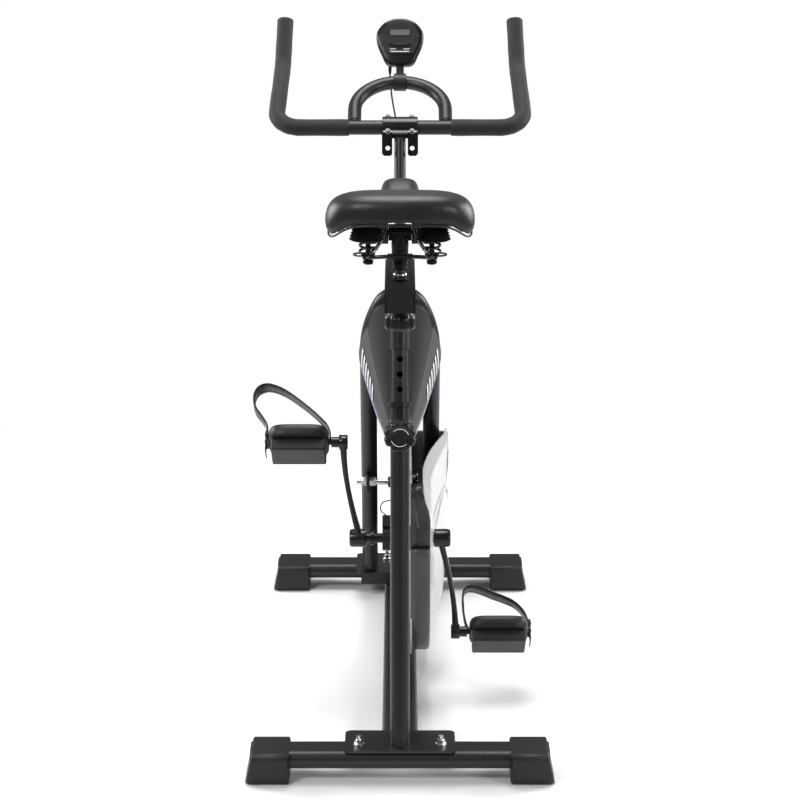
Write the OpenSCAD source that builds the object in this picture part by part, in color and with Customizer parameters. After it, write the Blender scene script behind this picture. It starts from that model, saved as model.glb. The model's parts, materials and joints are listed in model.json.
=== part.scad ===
// Exercise bike with a flywheel in a raked front fork, belt driven from the right.
// Millimetres. X to the rider's right, Y forwards, Z up.
// The origin is on the floor, midway between the two foot bars.

/* [Base] */
// Spacing of the two foot bars
base_l = 860; // [840:5:900]
// Width over the end caps of a foot bar
base_w = 490; // [480:5:520]
// Height of the foot bar's end caps
cap_h = 52; // [50:1:54]

/* [Frame] */
// Forward lean of the seat tube
seat_lean = 15.5; // [15:0.5:16.5]
// Length of the seat tube
seat_tube_l = 530; // [520:5:540]
// Backward lean of the front fork
fork_rake = 19.2; // [18.5:0.1:20]
// Forward lean of the handlebar post
post_lean = 18; // [17:0.5:19]
// Height of the bottom bracket
bracket_z = 283; // [278:1:288]

/* [Drive] */
// Radius of the flywheel
wheel_r = 168; // [155:1:170]
// Radius of the crank pulley
ring_r = 80; // [76:1:82]
// Radius of the flywheel's pulley
cog_r = 22; // [20:1:24]
// Length of a crank arm
crank_l = 170; // [165:1:172]
// Angle the pedals hang at, toes down
pedal_tilt = 43; // [0:1:50]

/* [Saddle] */
// Width of the saddle
saddle_w = 226; // [215:1:235]
// Length of the saddle
saddle_l = 275; // [260:5:280]
// Travel of the seat post either way
seat_travel = 72; // [48:24:72]

/* [Handlebar] */
// Height of the handlebar
bar_z = 932; // [920:1:945]
// Diameter of the handlebar tube
bar_d = 25.4; // [24:0.2:26]
// Diameter of the foam grips
grip_d = 29.6; // [29:0.2:32]

/* [Hidden] */
$fn = 48;
gap = 0.05;                     // running clearance of a shaft or a sliding tube

// Foot bars and the tubes on the floor line
foot_y = base_l / 2;
foot_d = 60;
foot_h = 30;
foot_z = 35;
cap_l = 70;
cap_d = 82;
plate_top = 54;
plate_t = 4;
floor_tube_w = 58;
floor_tube_h = 20;
floor_tube_rear_z = 38;
floor_tube_front_z = 20;

// Seat tube and seat post
seat_base_y = -415;
seat_tube_w = 31;
seat_tube_d = 60;
wall = 1.5;
seat_post_w = 26;
seat_post_d = 52;
rim_h = 8;
pin_z = 540;

// Bottom bracket and cranks
bracket_y = -100;
shell_r = 21.5;
shell_w = 60;
spindle_r = 8.25;
boss_x = 58;
boss_l = 28;
eye_x = 95;
belt_x = 36;
belt_w = 8;

// Fork, axle and flywheel
fork_base_y = 370;
fork_r = 15;
fork_half = 57;
crown_z = 645;
axle_r = 5;
axle_z = 262;
dropout_x = 59.5;
dropout_t = 6;
rim_w = 30;

// Slider under the saddle
slider_w = 40;
slider_h = 38;
slider_z = 760;
slider_y0 = -440;
slider_l = 235;
bolt_y = -355;
pillar_y = -265;
tilt_z = 846;

// Saddle
saddle_rear = -458;
saddle_top = 938;
saddle_skirt = 868;
spring_x = 48;
spring_y = -392;

// Handlebar post
head_w = 26;
head_d = 46;
hb_post_w = 20;
hb_post_d = 40;
bar_rise = 29;

// Lines that other parts are placed from
function seat_y(z) = seat_base_y + (z - plate_top) * tan(seat_lean);
function fork_y(z) = fork_base_y - (z - plate_top) * tan(fork_rake);
function floor_tube_z(y) = floor_tube_rear_z
    + (floor_tube_front_z - floor_tube_rear_z) * (y + foot_y - 28) / (base_l - 56);
crown_gap = fork_r + head_d / 2 + 0.3;
head_y = fork_y(crown_z) - crown_gap * cos(post_lean);
head_z = crown_z + crown_gap * sin(post_lean);
function post_y(z) = head_y + (z - head_z) * tan(post_lean);
bar_y = post_y(bar_z);
axle_y = fork_y(axle_z) - 27;
main_rear = [seat_y(528), 528];
main_front = [post_y(600), 600];
main_angle = atan((main_front[1] - main_rear[1]) / (main_front[0] - main_rear[0]));
brake_angle = 130;
brake_dir = [cos(brake_angle), sin(brake_angle)];

// ---------------------------------------------------------------- outlines
// Flat oval with its long side along Y
module oval(w, d) {
    square([w, d - w], center = true);
    for (s = [-1, 1]) translate([0, s * (d - w) / 2]) circle(w / 2);
}

// Flat oval with its long side along X
module wide_oval(w, d) {
    rotate(90) oval(d, w);
}

module round_rect(w, h, r) {
    square([w - 2 * r, h], center = true);
    square([w, h - 2 * r], center = true);
    for (x = [-1, 1], y = [-1, 1]) translate([x * (w / 2 - r), y * (h / 2 - r)]) circle(r);
}

module ring(r_out, r_in) {
    difference() {
        circle(r_out);
        circle(r_in);
    }
}

// ---------------------------------------------------------------- helpers
module both_sides() {
    children();
    mirror([1, 0, 0]) children();
}

// Child drawn in XY is extruded along X from x0 by w, with its X on Y and its Y on Z
module along_x(x0, w) {
    translate([x0, 0, 0]) rotate([90, 0, 90]) linear_extrude(w) children();
}

// Cylinder along X
module rod_x(r, x0, x1, y, z) {
    translate([x0, y, z]) rotate([0, 90, 0]) cylinder(r = r, h = x1 - x0);
}

// Frame whose Z runs up the seat tube from the rear foot plate
module seat_frame() {
    translate([0, seat_base_y, plate_top]) rotate([-seat_lean, 0, 0]) children();
}

// Frame whose Z runs up the handlebar post from the fork crown's height
module head_frame() {
    translate([0, head_y, head_z]) rotate([-post_lean, 0, 0]) children();
}

// Frame whose Z runs up the fork from the front foot plate
module fork_frame() {
    translate([0, fork_base_y, plate_top]) rotate([fork_rake, 0, 0]) children();
}

// Frame at the handlebar's centre with Y along the forward arms
module bar_frame() {
    translate([0, bar_y, bar_z]) rotate([bar_rise, 0, 0]) children();
}

// Frame on the flywheel's rim with Z pointing out along the brake's screw
module brake_frame() {
    translate([0, axle_y + wheel_r * brake_dir[0], axle_z + wheel_r * brake_dir[1]])
        rotate([brake_angle - 90, 0, 0]) children();
}

// Slight bead over the butt between two runs of tube
module bead() {
    rotate([0, 90, 0]) translate([0, 0, -0.6]) linear_extrude(1.2) scale(1.015) children();
}

// A run of tube heading along X, and what follows at its end
module straight(l) {
    rotate([0, 90, 0]) linear_extrude(l) children(0);
    if ($children > 1) translate([l, 0, 0]) {
        bead() children(0);
        children(1);
    }
}

// A bend of radius r through angle a towards Y, and what follows at its end
module bend(r, a) {
    translate([0, r, 0]) rotate(-90) rotate_extrude(angle = a) translate([r, 0]) children(0);
    if ($children > 1) translate([0, r, 0]) rotate(a) translate([0, -r, 0]) {
        bead() children(0);
        children(1);
    }
}

// Tube swept along points, with rings square to the route
function unit(v) = v / norm(v);
function route_dir(p, i) = unit(p[min(i + 1, len(p) - 1)] - p[max(i - 1, 0)]);
module sweep(p, r, sides, normal = [0, 0, 1]) {
    rings = [for (i = [0:len(p) - 1])
        let (d = route_dir(p, i), u = unit(cross(d, normal)), v = cross(d, u))
        for (k = [0:sides - 1]) p[i] + r * (cos(k * 360 / sides) * u + sin(k * 360 / sides) * v)];
    walls = [for (i = [0:len(p) - 2], k = [0:sides - 1]) let (n = (k + 1) % sides)
        [i * sides + k, i * sides + n, (i + 1) * sides + n, (i + 1) * sides + k]];
    last = (len(p) - 1) * sides;
    ends = [[for (k = [sides - 1:-1:0]) k], [for (k = [0:sides - 1]) last + k]];
    polyhedron(rings, concat(walls, ends));
}

// Rounded hand knob: bell neck, scalloped grip and flat face, from z = 0 to h
module lobed_knob(r, neck_r, h, lobes) {
    grip_h = h * 0.5;
    cylinder(r1 = neck_r * 0.62, r2 = neck_r, h = h - grip_h);
    translate([0, 0, h - grip_h]) linear_extrude(grip_h) difference() {
        circle(r);
        for (a = [0:lobes - 1]) rotate(a * 360 / lobes) translate([r + 3.5, 0]) circle(6.5);
    }
}

// ---------------------------------------------------------------- base
module foot_tube_solid(y, l) {
    translate([-l / 2, y, foot_z]) rotate([90, 0, 90]) linear_extrude(l) wide_oval(foot_d, foot_h);
}

module foot_tubes() {
    tube_l = base_w - 16;
    color("#2b2c2e") for (s = [-1, 1])
        translate([-tube_l / 2, s * foot_y, foot_z]) rotate([90, 0, 90]) linear_extrude(tube_l)
            difference() {
                wide_oval(foot_d, foot_h);
                wide_oval(foot_d - 2 * wall, foot_h - 2 * wall);
            }
}

module end_cap() {
    difference() {
        translate([base_w / 2 - cap_l, 0, cap_h / 2]) rotate([90, 0, 90])
            linear_extrude(cap_l) round_rect(cap_d, cap_h, 8);
        translate([0, 0, foot_z]) rotate([90, 0, 90])
            linear_extrude(base_w / 2 - 8) wide_oval(foot_d, foot_h);
    }
}

module end_caps() {
    color("#242527") for (s = [-1, 1]) translate([0, s * foot_y, 0]) both_sides() end_cap();
}

rear_plate_y = [-foot_y - 28, -foot_y + 52];
front_plate_y = [foot_y - 82, foot_y + 30];
bolt_x = [65, 25];

module plate(w, y, holes) {
    translate([0, (y[0] + y[1]) / 2, plate_top - plate_t]) linear_extrude(plate_t)
        round_rect(w, y[1] - y[0], 10);
}

module foot_plates() {
    color("#2b2c2e") {
        difference() {
            plate(175, rear_plate_y);
            both_sides() translate([bolt_x[0], -foot_y, 0]) cylinder(r = 4, h = 80);
        }
        difference() {
            union() {
                plate(168, front_plate_y);
                translate([-74, front_plate_y[0], 31.5]) cube([148, plate_t, 20]);
            }
            both_sides() translate([bolt_x[1], foot_y, 0]) cylinder(r = 4, h = 80);
        }
    }
}

module foot_bolt(x, y) {
    translate([x, y, 0]) {
        translate([0, 0, plate_top]) cylinder(r = 9, h = 1.6);
        translate([0, 0, plate_top + 1.6]) cylinder(r = 6.5, h = 6.5, $fn = 6);
        translate([0, 0, foot_z + foot_h / 2]) cylinder(r = 4, h = 18);
    }
}

// Hexagon nut or spacer on the axle
module axle_nut(x, w) {
    translate([x, axle_y, axle_z]) rotate([0, 90, 0]) difference() {
        cylinder(r = 9.5, h = w, $fn = 6);
        translate([0, 0, -1]) cylinder(r = axle_r, h = w + 2, $fn = 48);
    }
}

module frame_fasteners() {
    color("#c9cbce") {
        both_sides() foot_bolt(bolt_x[0], -foot_y);
        both_sides() foot_bolt(bolt_x[1], foot_y);
        both_sides() axle_nut(dropout_x + dropout_t / 2, 9);
        both_sides() axle_nut(dropout_x - dropout_t / 2 - 11, 11);
    }
}

floor_rear = [-foot_y + 18, floor_tube_z(-foot_y + 18)];
floor_front = [foot_y - 18, floor_tube_z(foot_y - 18)];
floor_tube_l = norm(floor_front - floor_rear);
floor_angle = atan((floor_front[1] - floor_rear[1]) / (floor_front[0] - floor_rear[0]));

module floor_tube_shape(w, h, l) {
    translate([0, floor_rear[0], floor_rear[1]]) rotate([floor_angle, 0, 0])
        rotate([-90, 0, 0]) linear_extrude(l) wide_oval(w, h);
}

module bottom_tube() {
    color("#2b2c2e") difference() {
        floor_tube_shape(floor_tube_w, floor_tube_h, floor_tube_l);
        floor_tube_shape(floor_tube_w - 2 * wall, floor_tube_h - 2 * wall, floor_tube_l);
        for (s = [-1, 1]) foot_tube_solid(s * foot_y, 100);
    }
}

// ---------------------------------------------------------------- frame
module seat_tube() {
    color("#303133") difference() {
        seat_frame() translate([0, 0, -20]) linear_extrude(seat_tube_l + 20)
            difference() {
                oval(seat_tube_w, seat_tube_d);
                oval(seat_tube_w - 2 * wall, seat_tube_d - 2 * wall);
            }
        translate([-50, seat_base_y - 80, plate_top - 60]) cube([100, 160, 60]);
        seat_frame() translate([-4.5, -seat_tube_d, seat_tube_l - 16]) cube([9, seat_tube_d, 17]);
        translate([0, seat_y(pin_z), pin_z]) rotate([90, 0, 0]) cylinder(r = 9, h = 80);
    }
}

module main_tube_solid(w, d, l) {
    translate([0, main_rear[0], main_rear[1]]) rotate([main_angle, 0, 0])
        rotate([-90, 0, 0]) linear_extrude(l) oval(w, d);
}

module seat_tube_solid() {
    seat_frame() linear_extrude(seat_tube_l) oval(seat_tube_w, seat_tube_d);
}

module head_tube_solid() {
    head_frame() translate([0, 0, -105]) linear_extrude(185) oval(head_w, head_d);
}

module main_tube() {
    main_l = norm(main_front - main_rear);
    color("#303133") {
        difference() {
            union() {
                difference() {
                    main_tube_solid(seat_tube_w - 1, 60, main_l);
                    main_tube_solid(seat_tube_w - 1 - 2 * wall, 60 - 2 * wall, main_l);
                    brake_frame() translate([0, 0, 60]) cylinder(r = 9, h = 300);
                }
                brake_frame() translate([0, 0, 205]) cylinder(r = 9, h = 100);
            }
            seat_tube_solid();
            seat_frame() translate([0, 0, seat_tube_l]) linear_extrude(60) oval(36.2, 66.2);
            head_tube_solid();
            brake_frame() translate([0, 0, 60]) cylinder(r = 6 + gap, h = 300);
        }
        head_frame() translate([0, 0, -105]) linear_extrude(185) difference() {
            oval(head_w, head_d);
            oval(head_w - 2 * wall, head_d - 2 * wall);
        }
    }
}

module bracket_frame() {
    post_w = 28;
    color("#303133") difference() {
        union() {
            translate([0, bracket_y, 30]) linear_extrude(550) oval(post_w, 50);
            rod_x(shell_r, -shell_w / 2, shell_w / 2, bracket_y, bracket_z);
        }
        floor_tube_shape(floor_tube_w, floor_tube_h, floor_tube_l);
        translate([-60, bracket_y - 60, 0]) cube([120, 120, floor_tube_z(bracket_y)]);
        main_tube_solid(seat_tube_w - 1, 60, 600);
        translate([-60, bracket_y - 60, 560]) cube([120, 120, 60]);
        rod_x(18, -50, 50, bracket_y, bracket_z);
    }
}

module bearing_cups() {
    color("#8e9093") both_sides() {
        translate([shell_w / 2 - 12, bracket_y, bracket_z]) rotate([0, 90, 0])
            linear_extrude(12) ring(18, spindle_r + gap);
    }
}

// The inverted U of the fork, drawn in its own plane with the crown arch in three arcs
crown_l = (crown_z - plate_top) / cos(fork_rake);
arch_h = 119;
top_r = 38;
side_r = ((arch_h - top_r) * (arch_h - top_r) + fork_half * fork_half - top_r * top_r)
    / (2 * (fork_half - top_r));
side_a = atan((arch_h - top_r) / (side_r - fork_half));

module fork_path(r) {
    translate([fork_half, 0, 0]) rotate([0, -90, 0]) rotate([90, 0, 0])
        straight(crown_l - arch_h) {
            circle(r);
            bend(side_r, side_a) {
                circle(r);
                bend(top_r, 180 - 2 * side_a) {
                    circle(r);
                    bend(side_r, side_a) {
                        circle(r);
                        straight(crown_l - arch_h) circle(r);
                    }
                }
            }
        }
}

module fork() {
    color("#3a3b3d") difference() {
        union() {
            fork_frame() fork_path(fork_r);
            both_sides() translate([dropout_x - dropout_t / 2, axle_y - 14, axle_z - 16])
                cube([dropout_t, 28, 32]);
        }
        fork_frame() fork_path(fork_r - wall);
        rod_x(axle_r, -100, 100, axle_y, axle_z);
        translate([-100, fork_base_y - 60, 0]) cube([200, 120, plate_top]);
    }
}

module bush(w, d, tube_w, tube_d, post_w, post_d, liner_l) {
    difference() {
        union() {
            linear_extrude(rim_h) oval(w, d);
            translate([0, 0, -liner_l]) linear_extrude(liner_l) oval(tube_w - 2 * wall, tube_d - 2 * wall);
        }
        translate([0, 0, -liner_l - 1]) linear_extrude(liner_l + rim_h + 2)
            oval(post_w + 2 * gap, post_d + 2 * gap);
    }
}

module post_bushes() {
    color("#1f2022") {
        difference() {
            seat_frame() translate([0, 0, seat_tube_l])
                bush(36, 66, seat_tube_w, seat_tube_d, seat_post_w, seat_post_d, 50);
            translate([0, seat_y(pin_z), pin_z]) rotate([90, 0, 0]) cylinder(r = 9, h = 80);
        }
        head_frame() translate([0, 0, 80]) bush(30, 50, head_w, head_d, hb_post_w, hb_post_d, 50);
    }
}

// ---------------------------------------------------------------- body cover
cover_y = [-283, 158];
cover_z = 512;
cover_rear = [[20, cover_z], [20, 530], [15, 545]];
cover_front = [[70, cover_z], [68, 548], [57, 590], [38, 624], [18, 642]];

// One end of the cover, grown by g, with its underside taken down for the hollow
module cover_slice(y, points, g, drop) {
    right = [for (p = points) [p[0] + g, p[1] + (p[1] > cover_z + 20 ? g : -drop)]];
    left = [for (i = [len(right) - 1:-1:0]) [-right[i][0], right[i][1]]];
    translate([0, y + 0.5, 0]) rotate([90, 0, 0]) linear_extrude(1) polygon(concat(right, left));
}

module cover() {
    shell = 3;
    difference() {
        hull() {
            cover_slice(cover_y[0], cover_rear, 0, 0);
            cover_slice(cover_y[1], cover_front, 0, 0);
        }
        hull() {
            cover_slice(cover_y[0] - 2, cover_rear, -shell, 20);
            cover_slice(cover_y[1] + 2, cover_front, -shell, 20);
        }
        brake_frame() translate([0, 0, 60]) cylinder(r = 14, h = 400);
        main_tube_solid(seat_tube_w, 61, norm(main_front - main_rear));
        head_frame() translate([0, 0, -60]) linear_extrude(140) oval(head_w + 1, head_d + 1);
        seat_frame() linear_extrude(seat_tube_l + 20) oval(seat_tube_w + 1, seat_tube_d + 1);
    }
}

module cover_right() {
    color("#26272a") intersection() {
        cover();
        translate([0.1, -400, 400]) cube([200, 800, 400]);
    }
}

module cover_left() {
    color("#26272a") intersection() {
        cover();
        translate([-200.1, -400, 400]) cube([200, 800, 400]);
    }
}

// ---------------------------------------------------------------- belt guard
guard_x = 20;
guard_wall = 2.5;
nose_y = axle_y - 4;
nose_z = 272;
nose_r = 94;
guard_top = [[-195, 405], [228, nose_z + nose_r]];
guard_low = [[nose_y + 30, nose_z - nose_r + 5], [60, 92], [-120, 80], [-175, 130], [-200, 300]];

// Side outline of the guard, shrunk by g
module guard_outline(g) {
    offset(delta = -g) union() {
        polygon(concat([guard_top[0], [nose_y, nose_z + nose_r]], guard_low));
        translate([nose_y, nose_z]) circle(nose_r);
    }
}

// Bulged volume between the inner plate and the outer skin, shrunk by g
module guard_volume(g) {
    hull() {
        along_x(guard_x - (g > 0 ? 5 : 0), 20 + (g > 0 ? 5 : 0) - g) guard_outline(g);
        along_x(51 - g, 1) translate([bracket_y + 8, bracket_z]) circle(92 - g);
        along_x(87 - g, 1) translate([axle_y, axle_z + 6]) circle(68 - g);
        along_x(71 - g, 1) translate([35, 190]) circle(58 - g);
    }
}

module guard_shell() {
    difference() {
        guard_volume(0);
        guard_volume(guard_wall);
        fork_frame() translate([fork_half, 0, 0]) cylinder(r = fork_r + 1.5, h = 700);
        rod_x(20, 0, 120, bracket_y, bracket_z);
        translate([guard_x - 1, -500, 340]) linear_extrude(90)
            polygon([[0, 330], [22, 330], [24, 90], [60, 400], [71, 510], [74, 790], [0, 790]]);
    }
}

module face_zone() {
    along_x(0, 200) translate([0, 0]) difference() {
        guard_outline(26);
        translate([-400, 0]) square([230, 700]);
    }
}

module guard_outer() {
    color("#e9eaec") intersection() {
        guard_shell();
        difference() {
            face_zone();
            translate([0, -300, 0]) cube([44, 900, 600]);
        }
    }
}

module guard_dark() {
    difference() {
        guard_shell();
        difference() {
            face_zone();
            translate([0, -300, 0]) cube([44, 900, 600]);
        }
    }
}

module guard_rear() {
    color("#4a4b4d") intersection() {
        guard_dark();
        translate([0, -300, 300]) cube([200, 900, 300]);
    }
}

module guard_lower() {
    color("#5a5b5d") intersection() {
        guard_dark();
        translate([0, -300, 0]) cube([200, 900, 299.8]);
    }
}

module guard_inner() {
    color("#dcdde0") difference() {
        along_x(guard_x - guard_wall, guard_wall) guard_outline(0);
        rod_x(shell_r + 1, 0, 60, bracket_y, bracket_z);
        rod_x(30, 0, 60, axle_y, axle_z);
    }
}

// ---------------------------------------------------------------- flywheel and drive
module flywheel_axle() {
    color("#c9cbce") rod_x(axle_r, -80, 80, axle_y, axle_z);
}

module flywheel() {
    color("#3c3d40") translate([0, axle_y, axle_z]) rotate([0, 90, 0]) difference() {
        union() {
            translate([0, 0, -rim_w / 2]) linear_extrude(rim_w) ring(wheel_r, wheel_r - 22);
            translate([0, 0, -4]) cylinder(r = wheel_r - 20, h = 8);
            translate([0, 0, -34]) cylinder(r = 17, h = 65);
        }
        translate([0, 0, -50]) cylinder(r = axle_r + gap, h = 100);
    }
}

module pulley(r, bore_r) {
    rotate([0, 90, 0]) translate([0, 0, belt_x - belt_w / 2 - 0.5]) linear_extrude(belt_w + 1) ring(r, bore_r);
}

module flywheel_pulley() {
    color("#8e9093") translate([0, axle_y, axle_z]) pulley(cog_r, axle_r + gap);
}

module crank_pulley() {
    color("#2b2c2e") translate([0, bracket_y, bracket_z]) difference() {
        pulley(ring_r, spindle_r);
        rotate([0, 90, 0]) for (a = [0:4]) rotate(a * 72) translate([48, 0, 0]) cylinder(r = 16, h = 100);
    }
}

// Belt: the band between two loops round both pulleys, each arc in short chords
belt_run = norm([axle_y - bracket_y, axle_z - bracket_z]);
belt_angle = atan((axle_z - bracket_z) / (axle_y - bracket_y));
belt_wrap = acos((ring_r - cog_r) / belt_run);

function belt_arc(r, x, a0, a1, steps) = [for (i = [0:steps])
    let (a = a0 + (a1 - a0) * i / steps, chord_r = r / cos((a1 - a0) / steps / 2))
    [x + chord_r * cos(a), chord_r * sin(a)]];

module belt_loop(g) {
    translate([bracket_y, bracket_z]) rotate(belt_angle) polygon(concat(
        belt_arc(ring_r + g, 0, belt_wrap, 360 - belt_wrap, 30),
        belt_arc(cog_r + g, belt_run, -belt_wrap, belt_wrap, 16)));
}

module drive_belt() {
    color("#1a1a1b") along_x(belt_x - belt_w / 2, belt_w) difference() {
        belt_loop(3.2);
        belt_loop(0.3);
    }
}

module crank_spindle() {
    color("#8e9093") {
        rod_x(spindle_r, -boss_x - boss_l + 6, boss_x + boss_l - 6, bracket_y, bracket_z);
        rod_x(12, -50, -45, bracket_y, bracket_z);
    }
}

// Crank arm that curves out from the boss, pointing up the Z axis
function arm_x(r) = boss_x + 10 + (eye_x - boss_x - 10) * sin(90 * r / crank_l);
module crank_arm() {
    steps = 10;
    thick = 10;
    inner = [for (i = [0:steps]) [arm_x(i * crank_l / steps) - thick / 2, i * crank_l / steps]];
    outer = [for (i = [steps:-1:0]) [arm_x(i * crank_l / steps) + thick / 2, i * crank_l / steps]];
    difference() {
        union() {
            rod_x(15.5, boss_x, boss_x + boss_l, 0, 0);
            translate([0, 11, 0]) rotate([90, 0, 0]) linear_extrude(22) polygon(concat(inner, outer));
            rod_x(12, eye_x - 7, eye_x + 7, 0, crank_l);
        }
        rod_x(spindle_r, 0, boss_x + boss_l - 6, 0, 0);
        rod_x(7, 0, 200, 0, crank_l);
    }
}

module crank_arm_left() {
    color("#232426") translate([0, bracket_y, bracket_z]) mirror([1, 0, 0]) crank_arm();
}

module crank_arm_right() {
    color("#232426") translate([0, bracket_y, bracket_z]) rotate([180, 0, 0]) crank_arm();
}

pedal_z = [bracket_z + crank_l, bracket_z - crank_l];
pedal_x = [118, 220];
strap_t = 2.4;
strap_w = 26;

module pedal_axle() {
    rod_x(7, eye_x - 7, eye_x + 8, 0, 0);
    rod_x(9, eye_x + 8, pedal_x[0] - 3, 0, 0);
    rod_x(axle_r, pedal_x[0] - 3, pedal_x[1] - 6, 0, 0);
}

module pedal_axles() {
    color("#3c3d40") {
        translate([0, bracket_y, pedal_z[0]]) mirror([1, 0, 0]) pedal_axle();
        translate([0, bracket_y, pedal_z[1]]) pedal_axle();
    }
}

// Frame on a pedal's axle with Z square to the board; 0 is the left pedal, 1 the right
module pedal_frame(i) {
    translate([0, bracket_y, pedal_z[i]]) rotate([-pedal_tilt, 0, 0]) children();
}

module pedal() {
    difference() {
        union() {
            along_x(pedal_x[0], pedal_x[1] - pedal_x[0]) translate([0, 2]) round_rect(92, 24, 8);
            along_x(pedal_x[0] + 4, pedal_x[1] - pedal_x[0] - 8) translate([-4, -19]) round_rect(62, 26, 3);
        }
        rod_x(axle_r + gap, 0, pedal_x[1] - 5, 0, 0);
    }
}

module pedal_left() {
    color("#202123") pedal_frame(0) mirror([1, 0, 0]) pedal();
}

module pedal_right() {
    color("#202123") pedal_frame(1) pedal();
}

// Toe strap: a band up from the board's edges that leans over as it crosses the foot
module strap(height, skew) {
    steps = 20;
    half = (pedal_x[1] - pedal_x[0]) / 2 + strap_t / 2;
    mid_x = (pedal_x[0] + pedal_x[1]) / 2;
    arch = [for (i = [0:steps]) let (a = i * 180 / steps)
        [mid_x + half * cos(a) + skew * sin(a), 16 + (height - 16) * sin(a)]];
    mid = concat([[mid_x + half, 2]], arch, [[mid_x - half, axle_r + 0.4]]);
    last = len(mid) - 1;
    side = [for (i = [0:last]) let (d = mid[min(i + 1, last)] - mid[max(i - 1, 0)])
        [-d[1], d[0]] / norm(d) * strap_t / 2];
    translate([0, strap_w / 2, 0]) rotate([90, 0, 0]) linear_extrude(strap_w) polygon(concat(
        [for (i = [0:last]) mid[i] - side[i]], [for (i = [last:-1:0]) mid[i] + side[i]]));
}

module strap_left() {
    color("#2b2c2e") pedal_frame(0) mirror([1, 0, 0]) strap(106, 40);
}

module strap_right() {
    color("#2b2c2e") pedal_frame(1) strap(88, -28);
}

module speed_sensor() {
    color("#1a1a1b") translate([-30, bracket_y - 9, bracket_z + 24]) cube([16, 18, 14]);
}

sensor_route = [[-22, -100, 322], [-26, -100, 326], [-31, -100, 330], [-33, -100, 336],
    [-32, -100, 342], [-28, -100, 347], [-23, -100, 349], [-18, -100, 350], [-14, -100, 350]];

module sensor_wire() {
    color("#1a1a1b") sweep(sensor_route, 1.1, 8, [0, 1, 0]);
}

// ---------------------------------------------------------------- seat post and slider
post_top = (slider_z - 3 - plate_top) / cos(seat_lean);
hole_pitch = 24;

module seat_post() {
    color("#2e2f31") {
        difference() {
            seat_frame() difference() {
                union() {
                    translate([0, 0, seat_tube_l - 190]) linear_extrude(post_top - seat_tube_l + 210)
                        oval(seat_post_w, seat_post_d);
                    translate([0, 0, seat_tube_l + rim_h + seat_travel + 12])
                        linear_extrude(post_top - seat_tube_l - rim_h - seat_travel) oval(seat_post_w + 5, seat_post_d + 5);
                }
                translate([0, 0, seat_tube_l - 200]) linear_extrude(post_top - seat_tube_l + 180)
                    oval(seat_post_w - 4, seat_post_d - 4);
                for (i = [-6:2]) translate([0, 0, seat_tube_l + 28 + i * hole_pitch])
                    rotate([90, 0, 0]) cylinder(r = 4.8, h = seat_post_d);
            }
            translate([-60, -400, slider_z - 3.2]) cube([120, 400, 200]);
        }
        channel();
    }
}

// Open channel on top of the post that the slider runs in
module channel() {
    channel_y = [-432, -190];
    channel_t = 3;
    translate([0, channel_y[0], slider_z - 3.2]) difference() {
        translate([-slider_w / 2 - 0.3 - channel_t, 0, 0])
            cube([slider_w + 0.6 + 2 * channel_t, channel_y[1] - channel_y[0], 30]);
        translate([-slider_w / 2 - 0.3, -1, channel_t])
            cube([slider_w + 0.6, channel_y[1] - channel_y[0] + 2, 60]);
        translate([0, bolt_y - channel_y[0], -1]) cylinder(r = 4, h = 10);
    }
}

module slider_bolt() {
    color("#d5d7da") translate([0, bolt_y, 0]) {
        translate([0, 0, slider_z - 45]) cylinder(r = 4, h = slider_h + 47);
        translate([0, 0, slider_z + slider_h + 0.3]) cylinder(r1 = 11, r2 = 7, h = 4);
    }
}

module seat_pin() {
    color("#c9cbce") translate([0, seat_y(pin_z), pin_z]) rotate([90, 0, 0])
        translate([0, 0, seat_post_d / 2 + 4.5]) cylinder(r = 4, h = 42);
}

module seat_knob() {
    color("#1f2022") translate([0, seat_y(pin_z), pin_z]) rotate([90, 0, 0])
        translate([0, 0, seat_tube_d / 2 + 5.5]) difference() {
            lobed_knob(26, 22, 46, 8);
            translate([0, 0, -1]) cylinder(r = 4 + gap, h = 40);
        }
}

module slider_tube() {
    color("#2e2f31") difference() {
        translate([-slider_w / 2, slider_y0, slider_z]) cube([slider_w, slider_l, slider_h]);
        translate([-slider_w / 2 + 2, slider_y0 - 1, slider_z + 2])
            cube([slider_w - 4, slider_l + 2, slider_h - 4]);
        translate([-4.5, bolt_y - 45, slider_z - 10]) cube([9, 90, slider_h + 20]);
    }
}

module slider_caps() {
    color("#1f2022") {
        translate([-slider_w / 2, slider_y0 - 5, slider_z]) cube([slider_w, 5, slider_h]);
        translate([-slider_w / 2, slider_y0 + slider_l, slider_z]) cube([slider_w, 5, slider_h]);
    }
}

module saddle_pillar() {
    color("#2e2f31") difference() {
        union() {
            translate([0, pillar_y, slider_z + slider_h]) cylinder(r = 13, h = tilt_z - slider_z - slider_h);
            rod_x(13, -18, 18, pillar_y, tilt_z);
        }
        rod_x(4 + gap, -30, 30, pillar_y, tilt_z);
    }
}

module slider_knob() {
    color("#1f2022") translate([0, bolt_y, slider_z - 3.4]) mirror([0, 0, 1]) difference() {
        lobed_knob(25, 22, 42, 8);
        translate([0, 0, -1]) cylinder(r = 4 + gap, h = 43);
    }
}

// ---------------------------------------------------------------- saddle
rail_z = tilt_z + 13;
rail_route = [[9, -212, 864.8], [14, -222, 864], [20, -236, 861], [22, -250, 859], [22, -280, 859],
    [23, -300, 857], [27, -325, 850], [34, -350, 842], [42, -372, 838], [48, -385, 837],
    [50, -398, 837], [44, -410, 838], [30, -416, 840], [14, -418, 841], [0, -418, 841]];

module saddle_rails() {
    color("#1a1a1b") {
        sweep(concat(rail_route, [for (i = [len(rail_route) - 2:-1:0])
            [-rail_route[i][0], rail_route[i][1], rail_route[i][2]]]), 3, 8);
    }
}

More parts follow.
